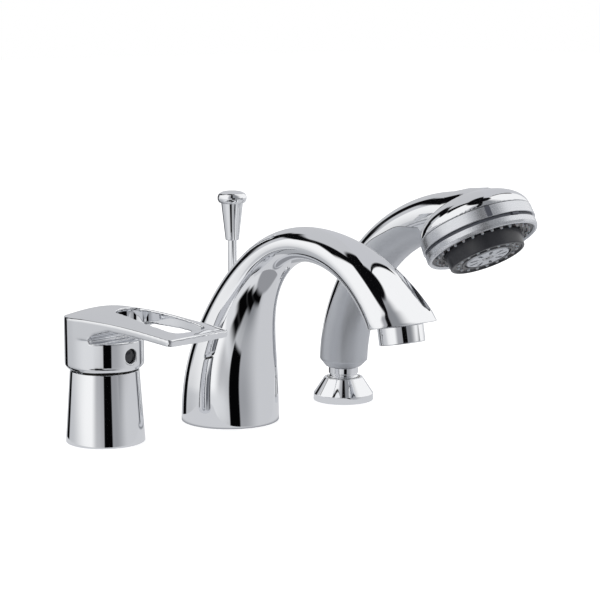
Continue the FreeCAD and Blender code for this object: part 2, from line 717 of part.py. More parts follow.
# Hand shower holder: chrome cone with a hollow shank for the hose and a plastic bush
bush_outer = 11.2
bush_wall_top = 10.2
seat_bottom = 5.0
seat_radius = 8.6
holder = revolved([
    (holder_base_radius, 0), (holder_base_radius, holder_edge_height), (holder_top_radius, holder_height),
    (bush_outer, holder_height), (bush_outer, 3.2), (holder_shank_radius + thread_gap, 3.2),
    (holder_shank_radius + thread_gap, gasket_thickness), (holder_base_radius - 1.6, gasket_thickness),
    (holder_base_radius - 1.6, 0)])
save("holder_cone", moved(holder, holder_x))
holder_gasket = ring(holder_shank_radius + slip_gap, holder_base_radius - 1.6 - slip_gap, 0, gasket_thickness)
save("holder_gasket", moved(holder_gasket, holder_x))
holder_shank = shank(holder_shank_radius, 3.2).cut(rod(hose_bore_radius, shank_bottom - 1, 4.2))
save("holder_shank", moved(holder_shank, holder_x))
bush = revolved([
    (hose_bore_radius, 3.2), (bush_outer - press_gap, 3.2), (bush_outer - press_gap, holder_height - 0.6),
    (bush_wall_top, holder_height - 0.6), (bush_wall_top, 9.5), (seat_radius, seat_bottom),
    (hose_bore_radius, seat_bottom)])
save("holder_bush", moved(bush, holder_x))


# Hand shower: built over the origin pointing along -Y, then moved to the holder
def on_handset(shape):
    return moved(shape, holder_x)


def face_placed(shape):
    """Built with the spray face at z = 0 and +Z into the head; placed at the end of the neck."""
    return moved(turned_by(shape, -face_tilt, at(1)), 0, -face_reach, face_height)


def on_face(shape):
    return on_handset(face_placed(shape))


# Hose coupling: the turned cone nut of the hose, parked in the holder, with its washer
coupling_top = handle_bottom - 0.4
spigot_radius = 8.4
spigot_top = handle_bottom + 11
coupling = revolved([
    (5.0, seat_bottom + 1.4), (seat_radius - slip_gap + 0.1, seat_bottom + 1.4), (coupling_radius, 10.2),
    (coupling_radius, 16.4), (coupling_radius - 0.7, 17.0), (coupling_radius - 0.7, 17.8),
    (coupling_radius, 18.4), (coupling_radius, coupling_top),
    (spigot_radius, coupling_top), (spigot_radius, spigot_top), (5.0, spigot_top)])
save("hose_coupling", on_handset(coupling))
save("coupling_washer", on_handset(ring(5.0, spigot_radius, spigot_top, spigot_top + 2)))


def handle_station(turn):
    """Centre, slope, half width and half depth of the handle where its spine has turned so far."""
    y = -handle_spine_reach * (1 - math.cos(turn))
    z = handle_bottom + handle_spine_height * math.sin(turn)
    slope = math.atan2(handle_spine_reach * math.sin(turn), handle_spine_height * math.cos(turn))
    taper = smooth_step((turn - 0.2) / 1.0)
    half_width = handle_radius + (neck_width / 2 - handle_radius) * taper
    half_depth = handle_radius + (neck_depth / 2 - handle_radius) * taper
    return at(0, y, z), slope, half_width, half_depth


def handle_loft(first, last, steps, inset):
    wires = []
    for i in range(steps + 1):
        centre, slope, half_width, half_depth = handle_station(first + (last - first) * i / steps)
        wires.append(ellipse_wire(centre, half_width - inset, half_depth - inset - 0.001, slope))
    for run, rise, shrink in ((0.45, 0.14, 1.0), (0.95, 0.26, 3.0)):
        onward = at(0, centre.y - run * neck_width, centre.z + rise * neck_depth)
        lean = math.pi / 2 - 0.12
        wires.append(ellipse_wire(onward, half_width - inset - shrink, half_depth - inset - shrink, lean))
    return Part.makeLoft(wires, True, False)


foot_height = 4.9
foot_turn = math.asin(foot_height / handle_spine_height)
neck_turn = math.radians(84)
handle_body = handle_loft(foot_turn, neck_turn, 12, 0.0)
start, start_slope, start_width, start_depth = handle_station(foot_turn)
foot_piece = Part.makeLoft([
    ellipse_wire(at(0, 0, handle_bottom), handle_foot_radius, handle_foot_radius - 0.001, 0),
    ellipse_wire(start, start_width, start_depth - 0.001, start_slope)], True, True)

# Head: dome over a collar, a groove and the turning bezel, all round the axis of the spray face
collar_bottom = bezel_height + groove_height
dome_bottom = collar_bottom + collar_height
dome_top = dome_bottom + dome_height


def dome(inset, bottom):
    """Flattened half ball over the collar, its rim at the dome's bottom, closed down to a given height."""
    radius = collar_radius - 0.6 - inset
    rise = dome_height - inset
    rim = at(radius, 0, dome_bottom)
    edges = [Part.LineSegment(at(0, 0, bottom), at(radius, 0, bottom)).toShape()]
    if bottom < dome_bottom:
        edges.append(Part.LineSegment(at(radius, 0, bottom), rim).toShape())
    edges.append(crown_edge(rim, rise))
    edges.append(Part.LineSegment(at(0, 0, dome_bottom + rise), at(0, 0, bottom)).toShape())
    return Part.Face(Part.Wire(edges)).revolve(at(0), at(0, 0, 1), 360)


head = face_placed(dome(0.0, dome_bottom))
collar_space = face_placed(rod(collar_radius + 0.3, -30, dome_bottom))
casing = handle_body.cut(collar_space).fuse(head).fuse(foot_piece).removeSplitter()
inside = handle_loft(foot_turn + 0.02, neck_turn, 10, shell_wall)
inside = inside.cut(face_placed(rod(collar_radius + 0.3 + shell_wall, -40, dome_bottom)))
inside = inside.fuse(face_placed(dome(shell_wall, dome_bottom - 0.01)))
thread_bore = spigot_radius + thread_gap
boss_top = spigot_top + 4
inside = inside.cut(rod(thread_bore + 3, 0, boss_top))
casing = casing.cut(inside)
casing = casing.cut(rod(thread_bore, 0, spigot_top + 2 + 0.2)).cut(rod(5.0, spigot_top, spigot_top + 8))


def seam_view(y, z):
    return at(-60, y, z)


# The seam leaves the back of the handle low down and climbs to the middle of the neck
seam = rounded_wire([
    (40, 38, 0), (8.5, 38, 12), (-9, 76, 60), (-40, 111.5, 30), (-66, 123.5, 25), (-90, 124.5, 4),
    (-95, 112, 0), (-180, 112, 0), (-180, 190, 0), (40, 190, 0)], seam_view)
back_space = Part.Face(seam).extrude(at(120))
head_space = face_placed(rod(collar_radius + 0.4, dome_bottom - 0.001, dome_top + 30))
back_space = back_space.fuse(head_space)
back_shell = casing.common(back_space)
grip = casing.cut(back_space)
save("handset_back_shell", on_handset(back_shell))
save("handset_grip", on_handset(grip))

# Water tube: a plastic hose tail from the coupling up the handle into the head
tube_radius = 5.5
tube_wires = []
tube_bores = []
tube_first = math.asin((spigot_top - 4 - handle_bottom) / handle_spine_height)
for i in range(9):
    centre, slope, wide, deep = handle_station(tube_first + (math.radians(76) - tube_first) * i / 8)
    tube_wires.append(ellipse_wire(centre, tube_radius, tube_radius - 0.001, slope))
    tube_bores.append(ellipse_wire(centre, tube_radius - 1.2, tube_radius - 1.201, slope))
tube = Part.makeLoft(tube_wires, True, False).cut(Part.makeLoft(tube_bores, True, False))
tube = tube.cut(rod(handle_radius, handle_bottom, boss_top))
save("water_tube", on_handset(tube))

# Fixed parts of the head: the collar with its pointer, and the channel plate behind the spray face
collar_wall = 3.0
collar = revolved([
    (collar_radius - collar_wall, collar_bottom), (collar_radius, collar_bottom),
    (collar_radius - 0.5, dome_bottom),
    (collar_radius - collar_wall, dome_bottom)])
pointer_turn = -120.0
pointer_slot = Part.makeBox(6, 3.2, collar_height - 1.0, at(collar_radius - 2.4, -1.6, collar_bottom + 0.5))
pointer_slot = turned_by(pointer_slot, pointer_turn)
pointer = pointer_slot.common(ring(collar_radius - 2.4, collar_radius + 0.35, collar_bottom, dome_bottom))
save("mode_collar", on_face(collar.cut(pointer_slot)))
save("mode_pointer", on_face(pointer))
screw_radius = 1.6
plate_radius = collar_radius - collar_wall - press_gap
channel_plate = rod(plate_radius, collar_bottom, collar_bottom + 4)
channel_plate = channel_plate.fuse(rod(8.0, collar_bottom + 4, collar_bottom + 10)).removeSplitter()
for i in range(3):
    turn = math.radians(120 * i)
    x = 16 * math.cos(turn)
    y = 16 * math.sin(turn)
    channel_plate = channel_plate.cut(rod(3.0, collar_bottom - 1, collar_bottom + 6, x, y))
channel_plate = channel_plate.cut(rod(screw_radius + running_gap, collar_bottom - 1, collar_bottom + 8))
save("channel_plate", on_face(channel_plate))

# Turning parts of the head: bezel, grip band with its nub, spray plate, nozzle mat, centre disc and screw
turn_gap = 0.3
nub_turn = -92.0
bezel_top = bezel_height
bezel_inner = face_radius - 1.6
bezel = revolved([
    (bezel_inner, 0.6), (face_radius, 0), (bezel_radius, 1.6), (bezel_radius, bezel_top),
    (bezel_inner, bezel_top)])
save("selector_ring", on_face(bezel))
band_top = collar_bottom - turn_gap
band = ring(bezel_inner, bezel_radius - 1.0, bezel_top, band_top)
nub = Part.makeBox(2.6, 4.6, band_top - bezel_top, at(bezel_radius - 1.6, -2.3, bezel_top))
band = band.fuse(turned_by(nub, nub_turn)).removeSplitter()
save("grip_band", on_face(band))
plate_thickness = 3.0
spray_radius = bezel_inner - press_gap
spray_plate = rod(spray_radius, 1.2, 1.2 + plate_thickness)
nozzle_circle = 29.3
nozzle_way = [2 * math.pi * i / nozzle_count for i in range(nozzle_count)]
for turn in nozzle_way:
    x = nozzle_circle * math.cos(turn)
    y = nozzle_circle * math.sin(turn)
    hole = rod(nozzle_radius + press_gap, 0, 6, x, y)
    spray_plate = spray_plate.cut(hole)
spray_plate = spray_plate.cut(rod(screw_radius + press_gap, 0, 6))
save("spray_plate", on_face(spray_plate))
mat_bottom = 1.2 + plate_thickness
mat = ring(27.6, 31.0, mat_bottom, bezel_top)
for turn in nozzle_way:
    tip = cone(nozzle_radius * 0.75, nozzle_radius, -0.9, 1.2)
    tip = tip.fuse(rod(nozzle_radius, 1.2, mat_bottom)).cut(rod(0.35, -2, bezel_top + 1))
    mat = mat.cut(rod(0.35, 0, 8, nozzle_circle * math.cos(turn), nozzle_circle * math.sin(turn)))
    mat = mat.fuse(moved(tip, nozzle_circle * math.cos(turn), nozzle_circle * math.sin(turn)))
save("nozzle_mat", on_face(mat))
disc_bottom = -centre_disc_rise
centre_disc = revolved([
    (0, disc_bottom), (centre_disc_radius - 3.2, disc_bottom), (centre_disc_radius - 1.6, disc_bottom + 0.9),
    (centre_disc_radius, 1.2), (0, 1.2)])
for circle_radius, count, hole_radius in ((19.5, 18, 0.9), (13.0, 9, 1.5), (7.0, 6, 0.9)):
    for i in range(count):
        turn = 2 * math.pi * (i + 0.5) / count
        x = circle_radius * math.cos(turn)
        y = circle_radius * math.sin(turn)
        jet = rod(hole_radius, disc_bottom - 1, disc_bottom + 2.2, x, y)
        centre_disc = centre_disc.cut(jet)
screw_head_radius = 3.2
centre_disc = centre_disc.cut(rod(screw_head_radius + press_gap, disc_bottom - 1, disc_bottom + 1.6))
centre_disc = centre_disc.cut(rod(screw_radius + press_gap, disc_bottom, 2))
save("centre_disc", on_face(centre_disc))
screw = rod(screw_head_radius, disc_bottom + 0.2, disc_bottom + 1.6)
screw = screw.fuse(rod(screw_radius, disc_bottom + 1.6, collar_bottom + 7)).removeSplitter()
cross = Part.makeBox(3.6, 0.8, 0.8, at(-1.8, -0.4, disc_bottom + 0.2))
screw = screw.cut(cross).cut(turned_by(cross, 90))
save("face_screw", on_face(screw))
seal_top = collar_bottom - running_gap
save("face_seal", on_face(ring(10.0, 24.0, mat_bottom, seal_top)))
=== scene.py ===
"""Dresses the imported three-hole bath mixer: a loop lever control, an arched spout with a pull-up
diverter knob, and a hand shower parked in its cone. Sizes are in millimetres until a mesh is made."""
import math

import bmesh
import bpy
from mathutils import Matrix, Vector


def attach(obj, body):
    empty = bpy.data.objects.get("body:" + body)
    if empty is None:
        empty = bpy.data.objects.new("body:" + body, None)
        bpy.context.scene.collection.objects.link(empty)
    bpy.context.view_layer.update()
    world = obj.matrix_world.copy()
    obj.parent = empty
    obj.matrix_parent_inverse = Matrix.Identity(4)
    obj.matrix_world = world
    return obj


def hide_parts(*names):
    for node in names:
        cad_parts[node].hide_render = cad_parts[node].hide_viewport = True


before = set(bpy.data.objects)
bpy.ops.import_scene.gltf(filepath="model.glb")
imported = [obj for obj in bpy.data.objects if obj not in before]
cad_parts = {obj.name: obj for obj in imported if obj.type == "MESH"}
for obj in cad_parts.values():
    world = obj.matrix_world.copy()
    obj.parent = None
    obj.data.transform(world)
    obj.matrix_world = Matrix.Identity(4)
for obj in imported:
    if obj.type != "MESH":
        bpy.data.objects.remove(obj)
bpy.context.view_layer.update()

MM = 0.001


# Studio: a pale paper floor in a white booth, with black and grey panels hung round it.
# The booth is drawn by direction in the world, and only the plating mirrors its panels.
def linear(hex_colour):
    channels = [int(hex_colour[i:i + 2], 16) / 255 for i in (1, 3, 5)]
    return [c / 12.92 if c <= 0.04045 else ((c + 0.055) / 1.055) ** 2.4 for c in channels] + [1.0]


def blank(name):
    material = bpy.data.materials.new(name)
    material.use_nodes = True
    material.node_tree.nodes.clear()
    return material


def add_node(tree, kind, settings=None, inputs=None):
    """Adds a node; inputs that are sockets are linked, and others are set."""
    node = tree.nodes.new("ShaderNode" + kind)
    for key, value in (settings or {}).items():
        setattr(node, key, value)
    for key, value in (inputs or {}).items():
        if isinstance(value, bpy.types.NodeSocket):
            tree.links.new(value, node.inputs[key])
        else:
            node.inputs[key].default_value = value
    return node


def mesh_object(name, points, faces):
    mesh = bpy.data.meshes.new(name)
    mesh.from_pydata([tuple(c * MM for c in point) for point in points], [], faces)
    mesh.validate()
    piece = bpy.data.objects.new(name, mesh)
    bpy.context.collection.objects.link(piece)
    return piece


view_azimuth = math.radians(39.5)
view_pitch = math.radians(9.0)
view_target = Vector((57.5, 0, 70.7)) * MM
view_distance = 1250 * MM
focal_pixels = 1922.7
sensor_width = 36.0
camera_data = bpy.data.cameras.new("photo_camera")
camera_data.sensor_width = sensor_width
camera_data.lens = focal_pixels * sensor_width / 600
camera_data.clip_end = 50
camera = bpy.data.objects.new("photo_camera", camera_data)
bpy.context.collection.objects.link(camera)
toward_camera = Vector((-math.sin(view_azimuth) * math.cos(view_pitch),
                        -math.cos(view_azimuth) * math.cos(view_pitch), math.sin(view_pitch)))
camera.location = view_target + toward_camera * view_distance
camera.rotation_euler = toward_camera.to_track_quat("Z", "Y").to_euler()
bpy.context.scene.camera = camera
bpy.context.scene.view_settings.view_transform = "Standard"

floor_half = 6000
floor = mesh_object("floor", [(-floor_half, -floor_half, 0), (floor_half, -floor_half, 0),
                              (floor_half, floor_half, 0), (-floor_half, floor_half, 0)], [(0, 1, 2, 3)])
paper = blank("white_paper")
tree = paper.node_tree
ray = add_node(tree, "LightPath")
sheet = add_node(tree, "BsdfDiffuse", inputs={"Color": linear("#F4F4F5")})
glow = add_node(tree, "Emission", inputs={"Color": (1, 1, 1, 1), "Strength": 0.55})
lit = add_node(tree, "AddShader", inputs={0: sheet.outputs[0], 1: glow.outputs[0]})
shown = add_node(tree, "Math", {"operation": "MAXIMUM"},
                 {0: ray.outputs["Is Camera Ray"], 1: ray.outputs["Is Glossy Ray"]})
plain = add_node(tree, "MixShader", inputs={0: shown.outputs[0], 1: sheet.outputs[0], 2: lit.outputs[0]})
add_node(tree, "OutputMaterial", inputs={"Surface": plain.outputs[0]})
floor.data.materials.append(paper)
floor.visible_glossy = False

# A grey card under the three units, seen only in the plating, that glows by itself: it hides the fixings
# below the deck from the mirror, as the deck does, and it is a painted reflection of the deck, with a painted
# shade that darkens it a little under the spout
mat_steps = 96
mat_half = 36.0
unit_pitch = 95.0
mat_points = []
for i in range(mat_steps):
    bend = 2 * math.pi * i / mat_steps
    end = math.copysign(unit_pitch, math.cos(bend))
    mat_points.append((end + mat_half * math.cos(bend), mat_half * math.sin(bend), -0.2))
under_mat = mesh_object("under_mat", mat_points, [tuple(range(mat_steps))])
card_grey = blank("grey_card")
tree = card_grey.node_tree
place = add_node(tree, "TexCoord")
spread = add_node(tree, "VectorMath", {"operation": "LENGTH"}, {0: place.outputs["Object"]})
# Painted shade: the glow is darker within 30 to 38 mm of the spout's axis, standing in for the shade round
# its foot
painted_shade_fade = add_node(tree, "MapRange", {"interpolation_type": "SMOOTHSTEP"},
                {"Value": spread.outputs["Value"], "From Min": 30 * MM, "From Max": 38 * MM})
tone = add_node(tree, "MixRGB", inputs={"Fac": painted_shade_fade.outputs[0], "Color1": linear("#8E9095"),
                                        "Color2": linear("#D2D3D6")})
sheet = add_node(tree, "Emission", inputs={"Color": tone.outputs[0], "Strength": 1.0})
add_node(tree, "OutputMaterial", inputs={"Surface": sheet.outputs[0]})
under_mat.data.materials.append(card_grey)
under_mat.visible_camera = False
under_mat.visible_diffuse = False
under_mat.visible_shadow = False

room = bpy.data.worlds.new("product_booth")
bpy.context.scene.world = room
room.use_nodes = True
tree = room.node_tree
tree.nodes.clear()
ray = add_node(tree, "LightPath")
way = add_node(tree, "TexCoord").outputs["Generated"]
front = add_node(tree, "VectorMath", {"operation": "DOT_PRODUCT"},
                 {0: way, 1: (-math.sin(view_azimuth), -math.cos(view_azimuth), 0)})
right = add_node(tree, "VectorMath", {"operation": "DOT_PRODUCT"},
                 {0: way, 1: (math.cos(view_azimuth), -math.sin(view_azimuth), 0)})
around = add_node(tree, "Math", {"operation": "ARCTAN2"},
                  {0: right.outputs["Value"], 1: front.outputs["Value"]}).outputs[0]
up = add_node(tree, "Math", {"operation": "ARCSINE"},
              {0: add_node(tree, "SeparateXYZ", inputs={0: way}).outputs["Z"]}).outputs[0]


def panel(shade, tone, around_span, up_span, soft=2.0):
    """Hangs a panel of one tone in the booth; spans in degrees from the front and above the deck."""
    cover = None
    for angle, (low, high) in ((around, around_span), (up, up_span)):
        for edge, side in ((low, 1), (high, -1)):
            ramp = add_node(tree, "MapRange", {"interpolation_type": "SMOOTHSTEP"},
                            {"Value": angle, "From Min": math.radians(edge - soft / 2),
                             "From Max": math.radians(edge + soft / 2),
                             "To Min": float(side < 0), "To Max": float(side > 0)}).outputs[0]
            cover = ramp if cover is None else add_node(tree, "Math", {"operation": "MULTIPLY"},
                                                        {0: cover, 1: ramp}).outputs[0]
    return add_node(tree, "MixRGB", inputs={"Fac": cover, "Color1": shade, "Color2": linear(tone)}).outputs[0]


shade = (1, 1, 1, 1)
# Above the deck: grey behind and to the right, white to the left, and a black ceiling
shade = panel(shade, "#8E9094", (-6, 62), (-5, 90), 46)
shade = panel(shade, "#A7A8AC", (-28, 6), (-9, 60), 20)
shade = panel(shade, "#CBCCD0", (152, 215), (-5, 90), 3)
shade = panel(shade, "#C9CACD", (-215, -118), (-2, 90), 4)
shade = panel(shade, "#0A0A0C", (147, 152), (34, 90), 2)
shade = panel(shade, "#0A0A0C", (-124, -100), (39, 90), 6)
shade = panel(shade, "#0A0A0C", (-146, -112), (28, 41), 4)
shade = panel(shade, "#0A0A0C", (-151, -132), (10, 34), 4)
shade = panel(shade, "#0A0A0C", (-9, 10), (10, 90), 8)
shade = panel(shade, "#0A0A0C", (-215, 10), (67, 100), 4)
shade = panel(shade, "#0A0A0C", (-60, 215), (77, 100), 4)
# Below it: a grey that pales to the right, and black panels that lean as they go down
shade = panel(shade, "#E2E3E5", (-215, 20), (-95, -7.5), 3)
shade = panel(shade, "#A9ABAF", (-215, -80), (-95, -7.5), 60)
shade = panel(shade, "#CFD0D3", (20, 215), (-95, -3), 6)
shade = panel(shade, "#86888C", (-12, 52), (-95, -20), 50)
shade = panel(shade, "#98999D", (-190, 190), (-95, -62), 6)
shade = panel(shade, "#050506", (-24, 0), (-26, -14), 9)
shade = panel(shade, "#050506", (-40, 3), (-42, -22), 9)
shade = panel(shade, "#050506", (-30, 22), (-53, -38), 9)
shade = panel(shade, "#050506", (-4, 54), (-62, -49), 9)
# Across the horizon: grey and black ahead to the right, and one black panel behind
shade = panel(shade, "#74767B", (6, 56), (-9, 12), 40)
shade = panel(shade, "#050506", (2, 26), (-15, 10), 3)
shade = panel(shade, "#0A0A0C", (-147, -126), (-50, 14), 4)
shade = panel(shade, "#6E7075", (50, 98), (-4, 5), 4)
booth = add_node(tree, "Background", inputs={"Color": shade, "Strength": 1.0})
plain_light = add_node(tree, "Background", inputs={"Color": (1, 1, 1, 1), "Strength": 0.8})
backdrop = add_node(tree, "Background", inputs={"Color": (1, 1, 1, 1), "Strength": 1.0})
mirrored = add_node(tree, "MixShader", inputs={0: ray.outputs["Is Glossy Ray"], 1: plain_light.outputs[0],
                                               2: booth.outputs[0]})
seen = add_node(tree, "MixShader", inputs={0: ray.outputs["Is Camera Ray"], 1: mirrored.outputs[0],
                                           2: backdrop.outputs[0]})
add_node(tree, "OutputWorld", inputs={"Surface": seen.outputs[0]})


# Deck fixings, one set under each unit: EPDM washer, pressed steel ring and hexagon brass nut.
# The washer takes up the deck's unevenness, the ring lets the nut turn on it without tearing it.
def dress(node, material):
    """Gives a CAD node its finish."""
    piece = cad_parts[node]
    piece.data.materials.clear()
    piece.data.materials.append(material)


def close_grain(tree, size_mm, depth_mm, stretch=(1, 1, 1)):
    """Bump of a fine grain, sized in millimetres on the part."""
    place = add_node(tree, "TexCoord")
    grid = add_node(tree, "Mapping", inputs={"Vector": place.outputs["Object"], "Scale": stretch})
    grain = add_node(tree, "TexNoise", inputs={"Vector": grid.outputs[0], "Scale": 1 / (size_mm * MM),
                                               "Detail": 4.0})
    bump = add_node(tree, "Bump", inputs={"Height": grain.outputs["Fac"], "Distance": depth_mm * MM,
                                          "Strength": 1.0})
    return grain, bump


# Moulded EPDM rubber: black with a grey bloom, so it reads dull and slightly dusty
epdm = blank("epdm_rubber")
tree = epdm.node_tree
grain, bump = close_grain(tree, 0.9, 0.02)
bloom = add_node(tree, "MixRGB", inputs={"Fac": grain.outputs["Fac"], "Color1": linear("#1B1B1C"),
                                         "Color2": linear("#2C2C2E")})
skin = add_node(tree, "BsdfPrincipled", inputs={"Base Color": bloom.outputs[0], "Roughness": 0.62,
                                                "IOR": 1.52, "Normal": bump.outputs[0]})
add_node(tree, "OutputMaterial", inputs={"Surface": skin.outputs[0]})

# Pressed stainless steel: grey, with the lines of the turned or pressed face across it
stainless = blank("stainless_steel")
tree = stainless.node_tree
grain, bump = close_grain(tree, 0.5, 0.01, (1, 1, 6))
haze = add_node(tree, "MapRange", inputs={"Value": grain.outputs["Fac"], "To Min": 0.22, "To Max": 0.38})
skin = add_node(tree, "BsdfPrincipled", inputs={"Base Color": linear("#B9BABC"), "Metallic": 1.0,
                                                "Roughness": haze.outputs[0], "Normal": bump.outputs[0]})
add_node(tree, "OutputMaterial", inputs={"Surface": skin.outputs[0]})

# Turned CW614N brass: yellow metal with lathe rings 0.4 mm apart and a little brown tarnish
brass = blank("turned_brass")
tree = brass.node_tree
grain, bump = close_grain(tree, 3.0, 0.01)
place = add_node(tree, "TexCoord")
lathe_pitch = 0.4
rings = add_node(tree, "TexWave", {"bands_direction": "Z"},
                 {"Vector": place.outputs["Object"], "Scale": 1 / (lathe_pitch * MM * 2 * math.pi),
                  "Distortion": 0.4})
cut = add_node(tree, "Bump", inputs={"Height": rings.outputs["Fac"], "Distance": 0.008 * MM, "Strength": 0.6,
                                     "Normal": bump.outputs[0]})
tarnish = add_node(tree, "MixRGB", inputs={"Fac": grain.outputs["Fac"], "Color1": linear("#D4B26A"),
                                           "Color2": linear("#B8924A")})
skin = add_node(tree, "BsdfPrincipled", inputs={"Base Color": tarnish.outputs[0], "Metallic": 1.0,
                                                "Roughness": 0.24, "Normal": cut.outputs[0]})
add_node(tree, "OutputMaterial", inputs={"Surface": skin.outputs[0]})

# Dark brass: the cartridge nut is left unplated and painted dark brown-grey, a painted shade, so its gap
# reads as a shadow
brass_dark_as_shade = blank("brass_painted_dark_shade")
tree = brass_dark_as_shade.node_tree
grain, bump = close_grain(tree, 0.8, 0.01)
painted_shade_tone = add_node(tree, "MixRGB", inputs={"Fac": grain.outputs["Fac"], "Color1": linear("#3A3833"),
                                        "Color2": linear("#2A2926")})
skin = add_node(tree, "BsdfPrincipled", inputs={"Base Color": painted_shade_tone.outputs[0], "Metallic": 0.6,
                                                "Roughness": 0.4, "Normal": bump.outputs[0]})
add_node(tree, "OutputMaterial", inputs={"Surface": skin.outputs[0]})

for unit in ("control", "spout", "holder"):
    dress(unit + "_gasket", epdm)
    dress(unit + "_clamp_washer", epdm)
    dress(unit + "_thrust_ring", stainless)
    dress(unit + "_backnut", brass)


# Control body and cartridge: a brass casting that holds a 35 mm ceramic disc cartridge.
# All of it is under the skirt and the drum; the plastic is glass-filled acetal, the discs alumina.
# Moulded acetal: off-white and waxy, with the soft texture of the tool
acetal = blank("white_acetal")
tree = acetal.node_tree
grain, bump = close_grain(tree, 0.4, 0.006)
tone = add_node(tree, "MixRGB", inputs={"Fac": grain.outputs["Fac"], "Color1": linear("#EFEDE6"),
                                        "Color2": linear("#E2E0D8")})
skin = add_node(tree, "BsdfPrincipled", inputs={"Base Color": tone.outputs[0], "Roughness": 0.42, "IOR": 1.48,
                                                "Subsurface Weight": 0.05, "Normal": bump.outputs[0]})
add_node(tree, "OutputMaterial", inputs={"Surface": skin.outputs[0]})

# Ground alumina: chalk white with a faint speckle, lapped so smooth that it shines at a low angle
alumina = blank("lapped_alumina")
tree = alumina.node_tree
grain, bump = close_grain(tree, 0.25, 0.002)
tone = add_node(tree, "MixRGB", inputs={"Fac": grain.outputs["Fac"], "Color1": linear("#F3EFE8"),
                                        "Color2": linear("#DDD8CF")})
skin = add_node(tree, "BsdfPrincipled", inputs={"Base Color": tone.outputs[0], "Roughness": 0.18, "IOR": 1.76,
                                                "Normal": bump.outputs[0]})
add_node(tree, "OutputMaterial", inputs={"Surface": skin.outputs[0]})

dress("control_body", brass)
# The cartridge nut's dark brass is painted shade for the gap between the skirt and the drum
dress("cartridge_nut", brass_dark_as_shade)
for node in ("cartridge_base", "cartridge_housing", "temperature_carrier", "disc_driver"):
    dress(node, acetal)
for node in ("fixed_disc", "moving_disc"):
    dress(node, alumina)
for node in ("cartridge_port_seals", "skirt_seal"):
    dress(node, epdm)
for node in ("pivot_pin", "lever_stem", "lever_grub_screw"):
    dress(node, stainless)


# Control skirt: a spun brass cone, polished and chromium plated, pushed down over the body.
# Its lip closes round the cartridge nut, and its foot rolls in slightly on the deck.
control_x = -unit_pitch


def rounded(corners, steps=6):
    """Closed outline through (a, b, radius) corners, each radius drawn as an arc of short steps."""
    points = []
    for i, (a, b, radius) in enumerate(corners):
        here = Vector((a, b))
        if radius == 0:
            points.append(here)
            continue
        before = Vector(corners[i - 1][:2]) - here
        after = Vector(corners[(i + 1) % len(corners)][:2]) - here
        half = before.angle(after) / 2
        reach = radius / math.tan(half)
        start = here + before.normalized() * reach
        stop = here + after.normalized() * reach
        centre = here + (before.normalized() + after.normalized()).normalized() * (radius / math.sin(half))
        first = start - centre
        sweep = first.angle_signed(stop - centre)
        for k in range(steps + 1):
            points.append(centre + Matrix.Rotation(-sweep * k / steps, 2) @ first)
    return [(p.x, p.y) for p in points]


def even_shading(piece, edge_degrees=40):
    """Smooth faces with true flats: big faces rule the shading, and sharp corners stay sharp."""
    piece.data.polygons.foreach_set("use_smooth", [True] * len(piece.data.polygons))
    piece.data.set_sharp_from_angle(angle=math.radians(edge_degrees))
    weigh = piece.modifiers.new("flats", "WEIGHTED_NORMAL")
    weigh.keep_sharp = True
    weigh.weight = 80


def turned(name, profile, steps=192, place=Matrix()):
    """Lathe work: a closed (radius, height, fillet) outline spun about Z, then placed."""
    outline = rounded(profile)
    count = len(outline)
    points = []
    faces = []
    for i in range(steps):
        turn = 2 * math.pi * i / steps
        for radius, height in outline:
            points.append(place @ Vector((radius * math.cos(turn), radius * math.sin(turn), height)))
    for i in range(steps):
        for j in range(count):
            k = (j + 1) % count
            if outline[j][0] < 1e-6 and outline[k][0] < 1e-6:
                continue
            n = (i + 1) % steps
            faces.append((i * count + j, n * count + j, n * count + k, i * count + k))
    piece = mesh_object(name, points, faces)
    tidy = bmesh.new()
    tidy.from_mesh(piece.data)
    bmesh.ops.remove_doubles(tidy, verts=tidy.verts, dist=1e-7)
    bmesh.ops.recalc_face_normals(tidy, faces=tidy.faces)
    tidy.to_mesh(piece.data)
    tidy.free()
    even_shading(piece)
    return piece


def fit(piece, body, material, slot, *nodes):
    """Puts a dressed piece on its body in place of the CAD nodes that it stands for."""
    piece.data.materials.clear()
    piece.data.materials.append(material)
    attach(piece, body)
    if nodes:
        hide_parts(*nodes)


def shifted(x, y=0.0, z=0.0):
    return Matrix.Translation((x, y, z))


# Chromium plate on polished brass: a cold mirror, with a haze too slight to see but in the highlights
chrome = blank("chromium_plate")
tree = chrome.node_tree
place = add_node(tree, "TexCoord")
clouds = add_node(tree, "TexNoise", inputs={"Vector": place.outputs["Object"], "Scale": 1 / (9 * MM),
                                            "Detail": 3.0})
haze = add_node(tree, "MapRange", inputs={"Value": clouds.outputs["Fac"], "To Min": 0.015, "To Max": 0.06})
skin = add_node(tree, "BsdfPrincipled", inputs={"Base Color": linear("#F2F3F5"), "Metallic": 1.0,
                                                "Roughness": haze.outputs[0]})
add_node(tree, "OutputMaterial", inputs={"Surface": skin.outputs[0]})

skirt = turned("control_skirt_polished", [
    (24.0, 0, 0.6), (21.0, 44.0, 0.5), (17.7, 44.0, 0.2), (17.7, 42.5, 0), (19.6, 42.5, 0), (22.5, 0, 0)],
    place=shifted(control_x))
fit(skirt, "deck_units", chrome, "polished_chrome", "control_skirt")


# Lever: a die-cast zinc drum with a crowned hood that runs out into a flat open loop, plated.
# Its edges are rounded by the polishing mop. It grips the cartridge stem with a grub screw.
lever_turn = Matrix.Rotation(math.radians(8.4), 4, "Z")
lever_place = shifted(control_x) @ lever_turn
drum_radius = 24.0
drum_bottom = 45.2
drum_front_top = drum_bottom + 18.3
lever_reach = 82.0
tip_height = 74.7
hood_height = 83.3
crest_reach = 10.0
fall_reach = 26.0
arm_under = tip_height - 5.0


def hood_share(reach):
    if reach <= crest_reach:
        return 1 - 0.95 * ((crest_reach - reach) / (crest_reach + drum_radius)) ** 2
    return 1 - (max(reach - fall_reach, 0.0) / (lever_reach - fall_reach)) ** 1.7


